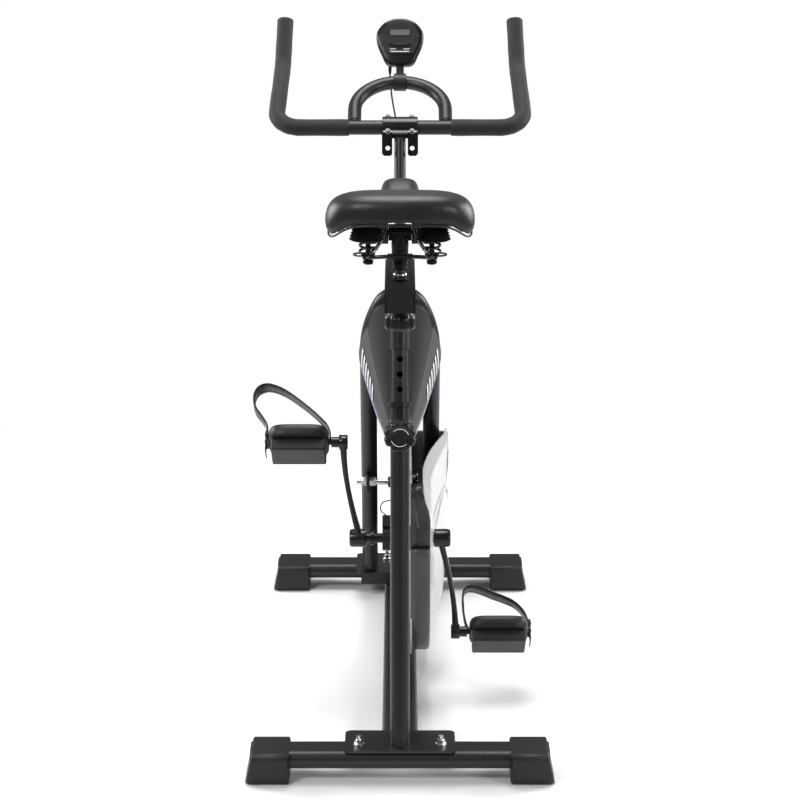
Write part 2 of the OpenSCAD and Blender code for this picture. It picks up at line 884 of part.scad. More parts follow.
module saddle_clamp() {
    color("#232426") difference() {
        both_sides() {
            rod_x(18, 18.3, 29, pillar_y, tilt_z);
            rod_x(8, 29, 34, pillar_y, tilt_z);
        }
        both_sides() for (i = [2:4]) translate([22, rail_route[i][1], rail_route[i][2]])
            rotate([90, 0, 0]) cylinder(r = 3.4, h = 36, center = true);
    }
    color("#c9cbce") rod_x(4, -29, 29, pillar_y, tilt_z);
}

module saddle_springs() {
    turns = 3;
    steps = 14;
    spring_r = 12;
    low = 842;
    high = saddle_skirt + 0;
    color("#1a1a1b") both_sides() translate([spring_x, spring_y, 0])
        sweep([for (i = [0:turns * steps]) let (a = i * 360 / steps)
            [spring_r * cos(a), spring_r * sin(a), low + 2 + (high - low - 4.2) * i / (turns * steps)]], 2, 8);
}

// Top view of the saddle, grown by g
module saddle_outline(g) {
    hull() {
        for (s = [-1, 1]) translate([s * (saddle_w / 2 - 58), saddle_rear + 62]) circle(58 + g);
        translate([0, saddle_rear + saddle_l - 32]) circle(30 + g);
    }
}

module saddle_base() {
    color("#1a1a1b") translate([0, 0, saddle_skirt]) linear_extrude(12) saddle_outline(-12);
}

module saddle_pad() {
    color("#2e2f31") difference() {
        hull() {
            for (s = [-1, 1]) translate([s * (saddle_w / 2 - 56), saddle_rear + 60, saddle_top - 40])
                scale([56, 60, 40] / 60) sphere(60, $fn = 32);
            translate([0, saddle_rear + saddle_l - 31, 898]) scale([30, 31, 24] / 30) sphere(30, $fn = 32);
            translate([0, 0, saddle_skirt - 6]) linear_extrude(20) saddle_outline(-2.5);
        }
        translate([0, 0, saddle_skirt - 40]) linear_extrude(52.5) saddle_outline(-11.5);
    }
}

// ---------------------------------------------------------------- handlebar
bar_r = bar_d / 2;
clamp_r = 19;
clamp_w = 62;
loop_r = 80;
loop_leg = 50;
loop_tube_r = 11.8;
post_top_l = (bar_z - head_z) / cos(post_lean);

module handlebar_post() {
    color("#2e2f31") difference() {
        head_frame() difference() {
            translate([0, 0, -60]) linear_extrude(post_top_l + 60) oval(hb_post_w, hb_post_d);
            translate([0, 0, -61]) linear_extrude(post_top_l + 20) oval(hb_post_w - 4, hb_post_d - 4);
        }
        rod_x(clamp_r, -50, 50, bar_y, bar_z);
        translate([-50, bar_y - 50, bar_z - 7.2]) cube([100, 100, 60]);
    }
}

module clamp_shell() {
    rotate([0, 90, 0]) translate([0, 0, -clamp_w / 2]) linear_extrude(clamp_w) ring(clamp_r, bar_r + gap);
}

module clamp_lower() {
    color("#26272a") translate([0, bar_y, bar_z]) difference() {
        union() {
            clamp_shell();
            for (s = [-1, 1]) translate([-clamp_w / 2, s * 22 - 8, -7]) cube([clamp_w, 16, 6]);
            both_sides() translate([12, -30, -34]) cube([19, 3, 30]);
        }
        translate([-50, -50, -1]) cube([100, 100, 60]);
        rod_x(bar_r + gap, -50, 50, 0, 0);
        for (s = [-1, 1], t = [-1, 1]) translate([s * 21, t * 23, -20]) cylinder(r = 3, h = 30);
        both_sides() translate([21.5, -20, -22]) rotate([90, 0, 0]) cylinder(r = 3.5, h = 20);
        translate([-10, 14, -30]) cube([6, 20, 40]);
    }
}

module clamp_upper() {
    color("#26272a") translate([0, bar_y, bar_z]) difference() {
        union() {
            clamp_shell();
            for (s = [-1, 1]) translate([-clamp_w / 2, s * 22 - 8, 1]) cube([clamp_w, 16, 6]);
        }
        translate([-50, -50, -59]) cube([100, 100, 60]);
        rod_x(bar_r + gap, -50, 50, 0, 0);
        for (s = [-1, 1], t = [-1, 1]) translate([s * 21, t * 23, -20]) cylinder(r = 3, h = 40);
        translate([-10, 14, -30]) cube([6, 20, 40]);
    }
}

module clamp_bolts() {
    color("#d5d7da") translate([0, bar_y, bar_z]) for (s = [-1, 1], t = [-1, 1])
        translate([s * 21, t * 23, 0]) {
            translate([0, 0, -12]) cylinder(r = 3, h = 20);
            translate([0, 0, 7]) cylinder(r = 5.5, h = 4);
        }
}

module post_knob() {
    color("#1f2022") head_frame() translate([0, head_d / 2 + 1, 60]) rotate([-90, 0, 0]) lobed_knob(22, 18, 38, 8);
}

// Half of the bar: out to the corner, along the forward arm and up to the tip
bar_half = 217;
corner_r = 42;
corner_a = 92.4;
arm_l = 118;
knee_r = 60;
knee_a = 29;
tip_l = 74;

module bar_arm() {
    bend(corner_r, corner_a) {
        children(0);
        straight(arm_l) {
            children(0);
            rotate([90, 0, 0]) bend(knee_r, knee_a) {
                children(0);
                straight(tip_l) children(0);
            }
        }
    }
}

module bar_path(run) {
    both_sides() straight(run) {
        children(0);
        bar_arm() children(0);
    }
}

module handlebar() {
    run = bar_half - corner_r;
    color("#2b2c2e") bar_frame() difference() {
        bar_path(run) circle(bar_r);
        bar_path(run) circle(bar_r - wall);
    }
}

module grip_path(r) {
    run = bar_half - corner_r;
    translate([91, 0, 0]) straight(run - 91) {
        circle(r);
        bar_arm() circle(r);
    }
}

module foam_grips() {
    color("#28292b") bar_frame() both_sides() difference() {
        grip_path(grip_d / 2);
        grip_path(bar_r);
    }
}

module loop_path(r) {
    translate([loop_r, 0, 0]) rotate(90) straight(loop_leg) {
        circle(r);
        bend(loop_r, 180) {
            circle(r);
            straight(loop_leg) circle(r);
        }
    }
}

module handlebar_loop() {
    color("#333436") bar_frame() difference() {
        loop_path(loop_tube_r);
        loop_path(loop_tube_r - wall);
        rod_x(bar_r, -150, 150, 0, 0);
    }
}

// ---------------------------------------------------------------- monitor
monitor_tilt = 25;
monitor_h = 90;
monitor_w = 85;
monitor_t = 20;

// Frame at the loop's top with Z up the monitor's face and -Y towards the rider
module monitor_frame() {
    bar_frame() translate([0, loop_leg + loop_r, 0]) rotate([-bar_rise - monitor_tilt, 0, 0]) children();
}

module monitor_outline(g) {
    hull() {
        translate([0, 72]) circle(monitor_w / 2 - g, $fn = 64);
        translate([0, 78]) circle(monitor_w / 2 - g - 2, $fn = 64);
        for (s = [-1, 1]) translate([s * 16, 37]) circle(7 - g);
    }
}

module monitor_case() {
    color("#232426") monitor_frame() difference() {
        translate([0, monitor_t / 2, 0]) rotate([90, 0, 0]) linear_extrude(monitor_t) monitor_outline(0);
        translate([-17, -monitor_t / 2 - 1, 84]) cube([34, 2.5, 11]);
        translate([-21, -monitor_t / 2 - 1, 61]) cube([42, 6, 9]);
        translate([-7, -3, 28]) cube([14, 6, 12]);
    }
}

module monitor_window() {
    color("#9aa09a") monitor_frame() translate([-17, -monitor_t / 2 + 0.3, 84]) cube([34, 1.2, 11]);
}

module monitor_button() {
    color("#2e2f31") monitor_frame() translate([-20.5, -monitor_t / 2 - 0.5, 61.5]) cube([41, 4, 8]);
}

module monitor_bracket() {
    color("#232426") monitor_frame() {
        rotate([0, 90, 0]) translate([0, 0, -11]) linear_extrude(22) ring(loop_tube_r + 3.6, loop_tube_r + 1);
        difference() {
            translate([-6.9, -2.9, 13]) cube([13.8, 5.8, 19]);
            rod_x(loop_tube_r + 3.4, -20, 20, 0, 0);
        }
    }
}

lead_route = [[-18, 356, 1014], [-18, 357, 1006], [-17, 355, 996], [-16, 348, 984], [-15, 330, 972],
    [-13, 308, 963], [-11, 286, 955], [-9, 266, 948], [-8, 252, 943], [-7, 244, 938], [-7, 240, 930]];

module monitor_lead() {
    color("#1a1a1b") sweep(lead_route, 1.5, 8, [1, 0, 0]);
}

// ---------------------------------------------------------------- brake
module tension_knob() {
    color("#1f2022") brake_frame() {
        translate([0, 0, 24]) cylinder(r = 6, h = 330);
        translate([0, 0, 340]) lobed_knob(23, 18, 36, 8);
    }
}

module brake_shoe() {
    brake_gap = 2.2;
    color("#4a4b4d") difference() {
        brake_frame() translate([-14, -26, -6]) cube([28, 52, 44]);
        translate([-50, axle_y, axle_z]) rotate([0, 90, 0]) cylinder(r = wheel_r + brake_gap, h = 100);
        brake_frame() translate([0, 0, 20]) cylinder(r = 6 + gap, h = 60);
    }
}

foot_tubes();
end_caps();
foot_plates();
frame_fasteners();
bottom_tube();
seat_tube();
bracket_frame();
bearing_cups();
main_tube();
fork();
post_bushes();
cover_left();
cover_right();
guard_inner();
guard_outer();
guard_rear();
guard_lower();
flywheel_axle();
speed_sensor();
sensor_wire();
drive_belt();
flywheel();
flywheel_pulley();
crank_spindle();
crank_pulley();
crank_arm_left();
crank_arm_right();
pedal_axles();
pedal_left();
pedal_right();
strap_left();
strap_right();
seat_post();
slider_bolt();
seat_pin();
seat_knob();
slider_tube();
slider_caps();
saddle_pillar();
slider_knob();
saddle_clamp();
saddle_rails();
saddle_springs();
saddle_base();
saddle_pad();
handlebar_post();
clamp_lower();
clamp_upper();
clamp_bolts();
post_knob();
handlebar();
handlebar_loop();
foam_grips();
monitor_bracket();
monitor_case();
monitor_window();
monitor_lead();
monitor_button();
tension_knob();
brake_shoe();
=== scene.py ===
import json
import math

import bmesh
import bpy
from mathutils import Matrix, Vector


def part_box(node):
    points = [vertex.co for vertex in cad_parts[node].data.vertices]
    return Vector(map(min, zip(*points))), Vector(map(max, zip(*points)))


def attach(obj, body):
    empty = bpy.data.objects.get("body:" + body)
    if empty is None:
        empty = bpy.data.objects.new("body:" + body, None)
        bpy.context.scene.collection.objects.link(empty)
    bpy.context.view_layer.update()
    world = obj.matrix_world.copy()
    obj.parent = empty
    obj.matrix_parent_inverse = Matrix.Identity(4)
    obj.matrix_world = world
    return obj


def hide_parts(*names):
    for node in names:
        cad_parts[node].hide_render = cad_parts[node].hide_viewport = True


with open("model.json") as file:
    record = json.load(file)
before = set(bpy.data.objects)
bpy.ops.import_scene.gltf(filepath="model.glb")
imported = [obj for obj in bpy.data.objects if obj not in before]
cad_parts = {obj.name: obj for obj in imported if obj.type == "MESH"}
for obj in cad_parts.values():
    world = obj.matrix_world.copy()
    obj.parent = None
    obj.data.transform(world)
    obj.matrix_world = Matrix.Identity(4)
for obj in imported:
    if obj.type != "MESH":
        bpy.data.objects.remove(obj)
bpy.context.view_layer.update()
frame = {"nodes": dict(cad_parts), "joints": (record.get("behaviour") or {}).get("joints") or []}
MM = 0.001

# Angles in degrees about X
PEDAL_TILT = 43
BAR_RISE = 29
FORK_RAKE = 19.2
MONITOR_TILT = 25
CLAMP_TILT = 22

# Stands an outline drawn in (y, z) across the object, with its thickness along X
SIDEWAYS = Matrix(((0, 0, 1, 0), (1, 0, 0, 0), (0, 1, 0, 0), (0, 0, 0, 1)))

JOINTS = {joint["name"]: joint for joint in frame["joints"]}


# ------------------------------------------------------------------ places taken from the frame
def pivot(joint):
    return Vector(JOINTS[joint]["pos_m"])


def axis(joint):
    return Vector(JOINTS[joint]["axis"]).normalized()


def middle(node):
    low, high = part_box(node)
    return (low + high) / 2


AXLE = pivot("flywheel_spin")
BRACKET = pivot("crank_spin")
BAR = pivot("handlebar_tilt")
BRAKE_AXIS = axis("tension_knob_turn")


def frame_at(origin, x_dir, y_dir, z_dir):
    """Matrix of a local frame with these axes, at a point."""
    turn = Matrix((x_dir, y_dir, z_dir)).transposed().to_4x4()
    return Matrix.Translation(origin) @ turn


def tilted(origin, degrees):
    """Local frame at origin, turned about X."""
    return Matrix.Translation(origin) @ Matrix.Rotation(math.radians(degrees), 4, "X")


def smooth_step(value, low, high):
    t = min(1.0, max(0.0, (value - low) / (high - low)))
    return t * t * (3 - 2 * t)


# ------------------------------------------------------------------ materials
def node_material(name, colour, rough, metal=0.0, spread=0.12, rough_spread=0.08,
                  grain=900.0, grain_height=0.15, patch=9.0, coat=0.0, sheen=0.0,
                  kind="noise", specular=0.5):
    """Procedural finish: patchy colour, uneven roughness and a fine surface grain."""
    material = bpy.data.materials.new(name)
    material.use_nodes = True
    tree = material.node_tree
    shader = tree.nodes["Principled BSDF"]
    shader.inputs["Metallic"].default_value = metal
    shader.inputs["Coat Weight"].default_value = coat
    shader.inputs["Coat Roughness"].default_value = 0.12
    shader.inputs["Sheen Weight"].default_value = sheen
    shader.inputs["Specular IOR Level"].default_value = specular
    place = tree.nodes.new("ShaderNodeTexCoord").outputs["Object"]

    def noise(scale, detail=4.0):
        node = tree.nodes.new("ShaderNodeTexNoise")
        node.inputs["Scale"].default_value = scale
        node.inputs["Detail"].default_value = detail
        tree.links.new(place, node.inputs["Vector"])
        return node.outputs["Fac"]

    tone = tree.nodes.new("ShaderNodeValToRGB")
    dark, light = tone.color_ramp.elements
    dark.position, light.position = 0.3, 0.7
    dark.color = [c * (1 - spread) for c in colour] + [1]
    light.color = [min(1, c * (1 + spread)) for c in colour] + [1]
    tree.links.new(noise(patch), tone.inputs["Fac"])
    tree.links.new(tone.outputs["Color"], shader.inputs["Base Color"])

    uneven = tree.nodes.new("ShaderNodeMapRange")
    uneven.inputs["To Min"].default_value = max(0.02, rough - rough_spread)
    uneven.inputs["To Max"].default_value = min(1.0, rough + rough_spread)
    tree.links.new(noise(patch * 7), uneven.inputs["Value"])
    tree.links.new(uneven.outputs["Result"], shader.inputs["Roughness"])

    if kind == "leather":
        cells = tree.nodes.new("ShaderNodeTexVoronoi")
        cells.feature = "DISTANCE_TO_EDGE"
        cells.inputs["Scale"].default_value = grain
        tree.links.new(place, cells.inputs["Vector"])
        height = cells.outputs["Distance"]
    elif kind == "brushed":
        lines = tree.nodes.new("ShaderNodeTexWave")
        lines.wave_type = "RINGS"
        lines.rings_direction = "X"
        lines.inputs["Scale"].default_value = grain
        lines.inputs["Distortion"].default_value = 0.4
        shift = tree.nodes.new("ShaderNodeMapping")
        shift.inputs["Location"].default_value = -AXLE
        tree.links.new(place, shift.inputs["Vector"])
        tree.links.new(shift.outputs["Vector"], lines.inputs["Vector"])
        height = lines.outputs["Fac"]
    else:
        height = noise(grain, 6.0)
    bump = tree.nodes.new("ShaderNodeBump")
    bump.inputs["Strength"].default_value = grain_height
    bump.inputs["Distance"].default_value = 0.0004
    tree.links.new(height, bump.inputs["Height"])
    tree.links.new(bump.outputs["Normal"], shader.inputs["Normal"])
    return material


POWDER = node_material("powder_coat", (0.0085, 0.0088, 0.0094), 0.38, grain=1400, grain_height=0.22,
                       specular=0.45)
GLOSS_PAINT = node_material("gloss_paint", (0.0045, 0.0045, 0.0048), 0.26, coat=0.1, grain=60,
                           grain_height=0.02,
                            specular=0.4)
MOULDED = node_material("moulded_plastic", (0.0080, 0.0080, 0.0086), 0.46, grain=1100, grain_height=0.3,
                        specular=0.4)
KNOB = node_material("knob_plastic", (0.0058, 0.0058, 0.0062), 0.34, grain=1300, grain_height=0.2,
                     specular=0.4)
SHELL = node_material("cover_shell", (0.0085, 0.0087, 0.0094), 0.28, coat=0.08, grain=60, grain_height=0.02,
                     specular=0.4)
PANEL = node_material("cover_panel", (0.062, 0.060, 0.058), 0.3, coat=0.1, grain=60, grain_height=0.02)
STRIPE = node_material("cover_stripe", (0.27, 0.36, 0.62), 0.35, grain_height=0.03)
WHITE = node_material("guard_white", (0.52, 0.525, 0.54), 0.30, spread=0.02, coat=0.1, grain=45,
                     grain_height=0.02)
GREY = node_material("guard_grey", (0.018, 0.018, 0.019), 0.36, grain=1000, grain_height=0.2)
LOWER = node_material("guard_lower_grey", (0.062, 0.063, 0.064), 0.40, grain=1000, grain_height=0.2)
ZINC = node_material("bright_zinc", (0.72, 0.73, 0.75), 0.2, metal=1.0, grain_height=0.05)
STEEL = node_material("turned_steel", (0.30, 0.30, 0.31), 0.34, metal=1.0, grain_height=0.1)
IRON = node_material("wheel_paint", (0.010, 0.010, 0.011), 0.34, grain=500, grain_height=0.25)
RIM = node_material("wheel_rim", (0.42, 0.42, 0.43), 0.25, metal=1.0, kind="brushed", grain=220,
                    grain_height=0.12)
RUBBER = node_material("rubber", (0.010, 0.010, 0.011), 0.62, grain=1300, grain_height=0.25,
                       specular=0.3)
FOAM = node_material("foam", (0.0125, 0.0128, 0.0135), 0.70, grain=1600, grain_height=0.5, sheen=0.08,
                     specular=0.35)
VINYL = node_material("saddle_vinyl", (0.0120, 0.0124, 0.0135), 0.40, grain=620, grain_height=0.10,
                      kind="leather", sheen=0.04, specular=0.4)
STRAP = node_material("strap_rubber", (0.0085, 0.0085, 0.0092), 0.40, grain=1200, grain_height=0.3,
                      specular=0.45)
LCD = node_material("display_glass", (0.12, 0.13, 0.12), 0.15, spread=0.05, coat=0.6, grain_height=0.0)
FELT = node_material("felt", (0.12, 0.115, 0.10), 0.95, grain=2200, grain_height=0.8, sheen=0.3)
PRINT = node_material("pale_print", (0.75, 0.76, 0.78), 0.4, spread=0.03, grain_height=0.02)


# ------------------------------------------------------------------ mesh helpers
def shade(obj, angle=35):
    for polygon in obj.data.polygons:
        polygon.use_smooth = True
    obj.data.set_sharp_from_angle(angle=math.radians(angle))


def bevel(obj, width, segments=3, angle=35):
    modifier = obj.modifiers.new("edges", "BEVEL")
    modifier.width = width
    modifier.segments = segments
    modifier.limit_method = "ANGLE"
    modifier.angle_limit = math.radians(angle)
    modifier.harden_normals = False
    return obj


def subdivide(obj, levels=2):
    modifier = obj.modifiers.new("smooth", "SUBSURF")
    modifier.levels = levels
    modifier.render_levels = levels
    return obj


def piece(name, verts, faces, material, body, replaces=(), slot=None, place=None, angle=35):
    """A new mesh piece that rides on a body and stands for the CAD nodes it replaces."""
    mesh = bpy.data.meshes.new(name)
    mesh.from_pydata([tuple(v) for v in verts], [], faces)
    if place is not None:
        mesh.transform(place)
    tidy = bmesh.new()
    tidy.from_mesh(mesh)
    bmesh.ops.recalc_face_normals(tidy, faces=tidy.faces)
    tidy.to_mesh(mesh)
    tidy.free()
    obj = bpy.data.objects.new(name, mesh)
    bpy.context.scene.collection.objects.link(obj)
    obj.data.materials.append(material)
    shade(obj, angle)
    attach(obj, body)
    if replaces:
        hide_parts(*replaces)
    return obj


def grid_faces(rows, columns, closed_rows=False):
    """Quads over rows of closed rings."""
    faces = []
    for i in range(rows if closed_rows else rows - 1):
        j = (i + 1) % rows
        for k in range(columns):
            n = (k + 1) % columns
            faces.append((i * columns + k, i * columns + n, j * columns + n, j * columns + k))
    return faces


def smooth_route(points, per_span=8, closed=False):
    """Catmull-Rom curve through the points."""
    points = [Vector(p) for p in points]
    count = len(points)
    route = []
    for i in range(count if closed else count - 1):
        if closed:
            a, b, c, d = (points[(i + k - 1) % count] for k in range(4))
        else:
            a, b = points[max(i - 1, 0)], points[i]
            c, d = points[i + 1], points[min(i + 2, count - 1)]
        for step in range(per_span):
            t = step / per_span
            route.append(0.5 * (2 * b + (c - a) * t + (2 * a - 5 * b + 4 * c - d) * t * t
                                + (3 * b - a - 3 * c + d) * t ** 3))
    if not closed:
        route.append(points[-1])
    return route


def tube_rings(route, radii, sides, closed=False):
    """Rings square to a route, without twist. radii holds one radius or one for each point."""
    count = len(route)
    if not hasattr(radii, "__len__"):
        radii = [radii] * count
    verts = []
    normal = None
    for i, point in enumerate(route):
        before = route[i - 1] if i or closed else route[0]
        after = route[(i + 1) % count] if i < count - 1 or closed else route[-1]
        along = (after - before).normalized()
        if normal is None:
            normal = along.orthogonal().normalized()
        normal = (normal - along * normal.dot(along)).normalized()
        other = along.cross(normal)
        for k in range(sides):
            angle = 2 * math.pi * k / sides
            verts.append(point + radii[i] * (math.cos(angle) * normal + math.sin(angle) * other))
    return verts


def tube(name, route, radii, material, body, sides=24, closed=False, round_end=0.0, **about):
    """Round tube along a route, with ends rounded over by round_end."""
    route = [Vector(p) for p in route]
    if not hasattr(radii, "__len__"):
        radii = [radii] * len(route)
    if round_end and not closed:
        def ends(points, sizes):
            start, back = points[0], (points[0] - points[1]).normalized()
            fresh, thin = [], []
            for step in range(4, 0, -1):
                a = math.radians(90 * step / 4)
                fresh.append(start + back * (round_end * math.sin(a)))
                thin.append(sizes[0] - round_end * (1 - math.cos(a)))
            return fresh + points, thin + sizes
        route, radii = ends(route, list(radii))
        route, radii = ends(route[::-1], radii[::-1])
    verts = tube_rings(route, radii, sides, closed)
    faces = grid_faces(len(route), sides, closed)
    if not closed:
        faces.append(tuple(range(sides))[::-1])
        faces.append(tuple(range((len(route) - 1) * sides, len(route) * sides)))
    return piece(name, verts, faces, material, body, **about)


def lathe(name, profile, material, body, place, sides=64, **about):
    """Profile of (radius, height) turned about local Z; a radius of 0 closes the end."""
    verts, faces, rings = [], [], []
    for radius, height in profile:
        if radius < 1e-7:
            rings.append([len(verts)])
            verts.append((0, 0, height))
            continue
        rings.append(list(range(len(verts), len(verts) + sides)))
        for k in range(sides):
            angle = 2 * math.pi * k / sides
            verts.append((radius * math.cos(angle), radius * math.sin(angle), height))
    for low, high in zip(rings, rings[1:]):
        for k in range(sides):
            n = (k + 1) % sides
            if len(low) == 1 and len(high) > 1:
                faces.append((low[0], high[k], high[n]))
            elif len(high) == 1 and len(low) > 1:
                faces.append((low[k], low[n], high[0]))
            elif len(low) > 1:
                faces.append((low[k], low[n], high[n], high[k]))
    return piece(name, verts, faces, material, body, place=place, **about)


def prism(name, outline, low, high, material, body, place=None, **about):
    """Outline of (x, y) points raised from low to high along local Z."""
    count = len(outline)
    verts = [(x, y, low) for x, y in outline] + [(x, y, high) for x, y in outline]
    faces = [tuple(range(count))[::-1], tuple(range(count, 2 * count))]
    faces += [(k, (k + 1) % count, (k + 1) % count + count, k + count) for k in range(count)]
    return piece(name, verts, faces, material, body, place=place, **about)


def rounded_box(name, low, high, radius, material, body, place=None, **about):
    verts = [(x, y, z) for x in (low[0], high[0]) for y in (low[1], high[1]) for z in (low[2], high[2])]
    faces = [(0, 1, 3, 2), (4, 6, 7, 5), (0, 4, 5, 1), (2, 3, 7, 6), (0, 2, 6, 4), (1, 5, 7, 3)]
    obj = piece(name, verts, faces, material, body, place=place, **about)
    return bevel(obj, radius, 4)


# ------------------------------------------------------------------ CAD nodes that stay
FINISH = {
    "foot_tubes": POWDER, "foot_plates": POWDER, "bottom_tube": POWDER, "seat_tube": POWDER,
    "bracket_frame": POWDER, "main_tube": POWDER, "fork": POWDER, "seat_post": POWDER,
    "slider_tube": POWDER, "saddle_pillar": GLOSS_PAINT, "handlebar_post": POWDER,
    "handlebar": POWDER, "handlebar_loop": POWDER, "end_caps": MOULDED, "post_bushes": KNOB,
    "slider_caps": MOULDED, "cover_left": SHELL, "cover_right": SHELL, "guard_inner": WHITE,
    "guard_outer": WHITE, "guard_rear": GREY, "guard_lower": GREY, "frame_fasteners": ZINC,
    "flywheel_axle": ZINC, "slider_bolt": ZINC, "seat_pin": ZINC, "clamp_bolts": ZINC,
    "bearing_cups": STEEL, "flywheel_pulley": STEEL, "crank_spindle": GLOSS_PAINT, "pedal_axles": GLOSS_PAINT,
    "flywheel": IRON, "drive_belt": RUBBER, "sensor_wire": RUBBER, "monitor_lead": RUBBER,
    "speed_sensor": MOULDED, "crank_pulley": GLOSS_PAINT, "crank_arm_left": GLOSS_PAINT,
    "crank_arm_right": GLOSS_PAINT, "pedal_left": MOULDED, "pedal_right": MOULDED,
    "strap_left": STRAP, "strap_right": STRAP, "seat_knob": KNOB, "slider_knob": KNOB,
    "post_knob": KNOB, "tension_knob": KNOB, "saddle_clamp": GLOSS_PAINT,
    "saddle_rails": GLOSS_PAINT, "saddle_springs": GLOSS_PAINT, "saddle_base": MOULDED,
    "saddle_pad": VINYL, "clamp_lower": GLOSS_PAINT, "clamp_upper": GLOSS_PAINT,
    "foam_grips": FOAM, "monitor_bracket": MOULDED, "monitor_case": MOULDED,
    "monitor_window": LCD, "monitor_button": MOULDED, "brake_shoe": FELT,
}
EDGE_MM = {
    "foot_tubes": 0, "end_caps": 3.0, "foot_plates": 0.8, "slider_tube": 1.5, "slider_caps": 1.2,
    "seat_post": 0.6, "bracket_frame": 0, "main_tube": 0, "seat_tube": 0.3, "guard_outer": 1.0,
    "clamp_lower": 0.8, "clamp_upper": 0.8, "crank_arm_left": 1.6, "crank_arm_right": 1.6,
    "monitor_case": 2.0, "monitor_window": 0.3, "monitor_button": 0.8, "frame_fasteners": 0.4,
    "slider_bolt": 0.5, "clamp_bolts": 0.5, "speed_sensor": 1.5, "saddle_clamp": 0.8,
}
for node, obj in frame["nodes"].items():
    obj.data.materials.clear()
    obj.data.materials.append(FINISH[node])
    shade(obj, 32)
    if EDGE_MM.get(node):
        bevel(obj, EDGE_MM[node] * MM, 3)


# ------------------------------------------------------------------ camera, light and floor
def studio():
    camera = bpy.data.objects.new("camera", bpy.data.cameras.new("camera"))
    bpy.context.scene.collection.objects.link(camera)
    camera.location = (0, -3.768, 1.5794)
    camera.rotation_euler = (math.radians(90 - 16.016), 0, 0)
    camera.data.lens = 102.985
    camera.data.sensor_width = 36
    bpy.context.scene.camera = camera

    for name, place, size, power in (
            ("key", (-2.0, -2.6, 3.2), 1.0, 62), ("fill", (2.6, -2.2, 1.8), 0.8, 30),
            ("left_edge", (-2.4, 0.9, 1.4), 1.2, 55), ("right_edge", (2.4, 1.0, 1.4), 1.2, 55),
            ("top", (0, 0.4, 3.2), 1.6, 70)):
        lamp = bpy.data.objects.new(name, bpy.data.lights.new(name, "AREA"))
        bpy.context.scene.collection.objects.link(lamp)
        lamp.data.size = size
        lamp.data.energy = power
        lamp.location = place
        lamp.rotation_euler = (Vector((0, 0, 0.5)) - Vector(place)).to_track_quat("-Z", "Y").to_euler()

    world = bpy.data.worlds.new("studio")
    world.use_nodes = True
    tree = world.node_tree
    soft = tree.nodes["Background"]
    soft.inputs["Color"].default_value = (1, 1, 1, 1)
    soft.inputs["Strength"].default_value = 0.24
    seen = tree.nodes.new("ShaderNodeBackground")
    seen.inputs["Color"].default_value = (1, 1, 1, 1)
    mix = tree.nodes.new("ShaderNodeMixShader")
    ray = tree.nodes.new("ShaderNodeLightPath")
    tree.links.new(ray.outputs["Is Camera Ray"], mix.inputs["Fac"])
    tree.links.new(soft.outputs["Background"], mix.inputs[1])
    tree.links.new(seen.outputs["Background"], mix.inputs[2])
    tree.links.new(mix.outputs["Shader"], tree.nodes["World Output"].inputs["Surface"])
    bpy.context.scene.world = world
    bpy.context.scene.view_settings.view_transform = "Standard"

    mesh = bpy.data.meshes.new("floor")
    reach = 1.45
    mesh.from_pydata([(-reach, -reach, 0), (reach, -reach, 0), (reach, reach, 0), (-reach, reach, 0)],
                     [], [(0, 1, 2, 3)])
    floor = bpy.data.objects.new("floor", mesh)
    bpy.context.scene.collection.objects.link(floor)
    floor.data.materials.append(node_material("floor", (0.86, 0.86, 0.865), 0.7, spread=0.01,
                                              grain=60, grain_height=0.05))


studio()


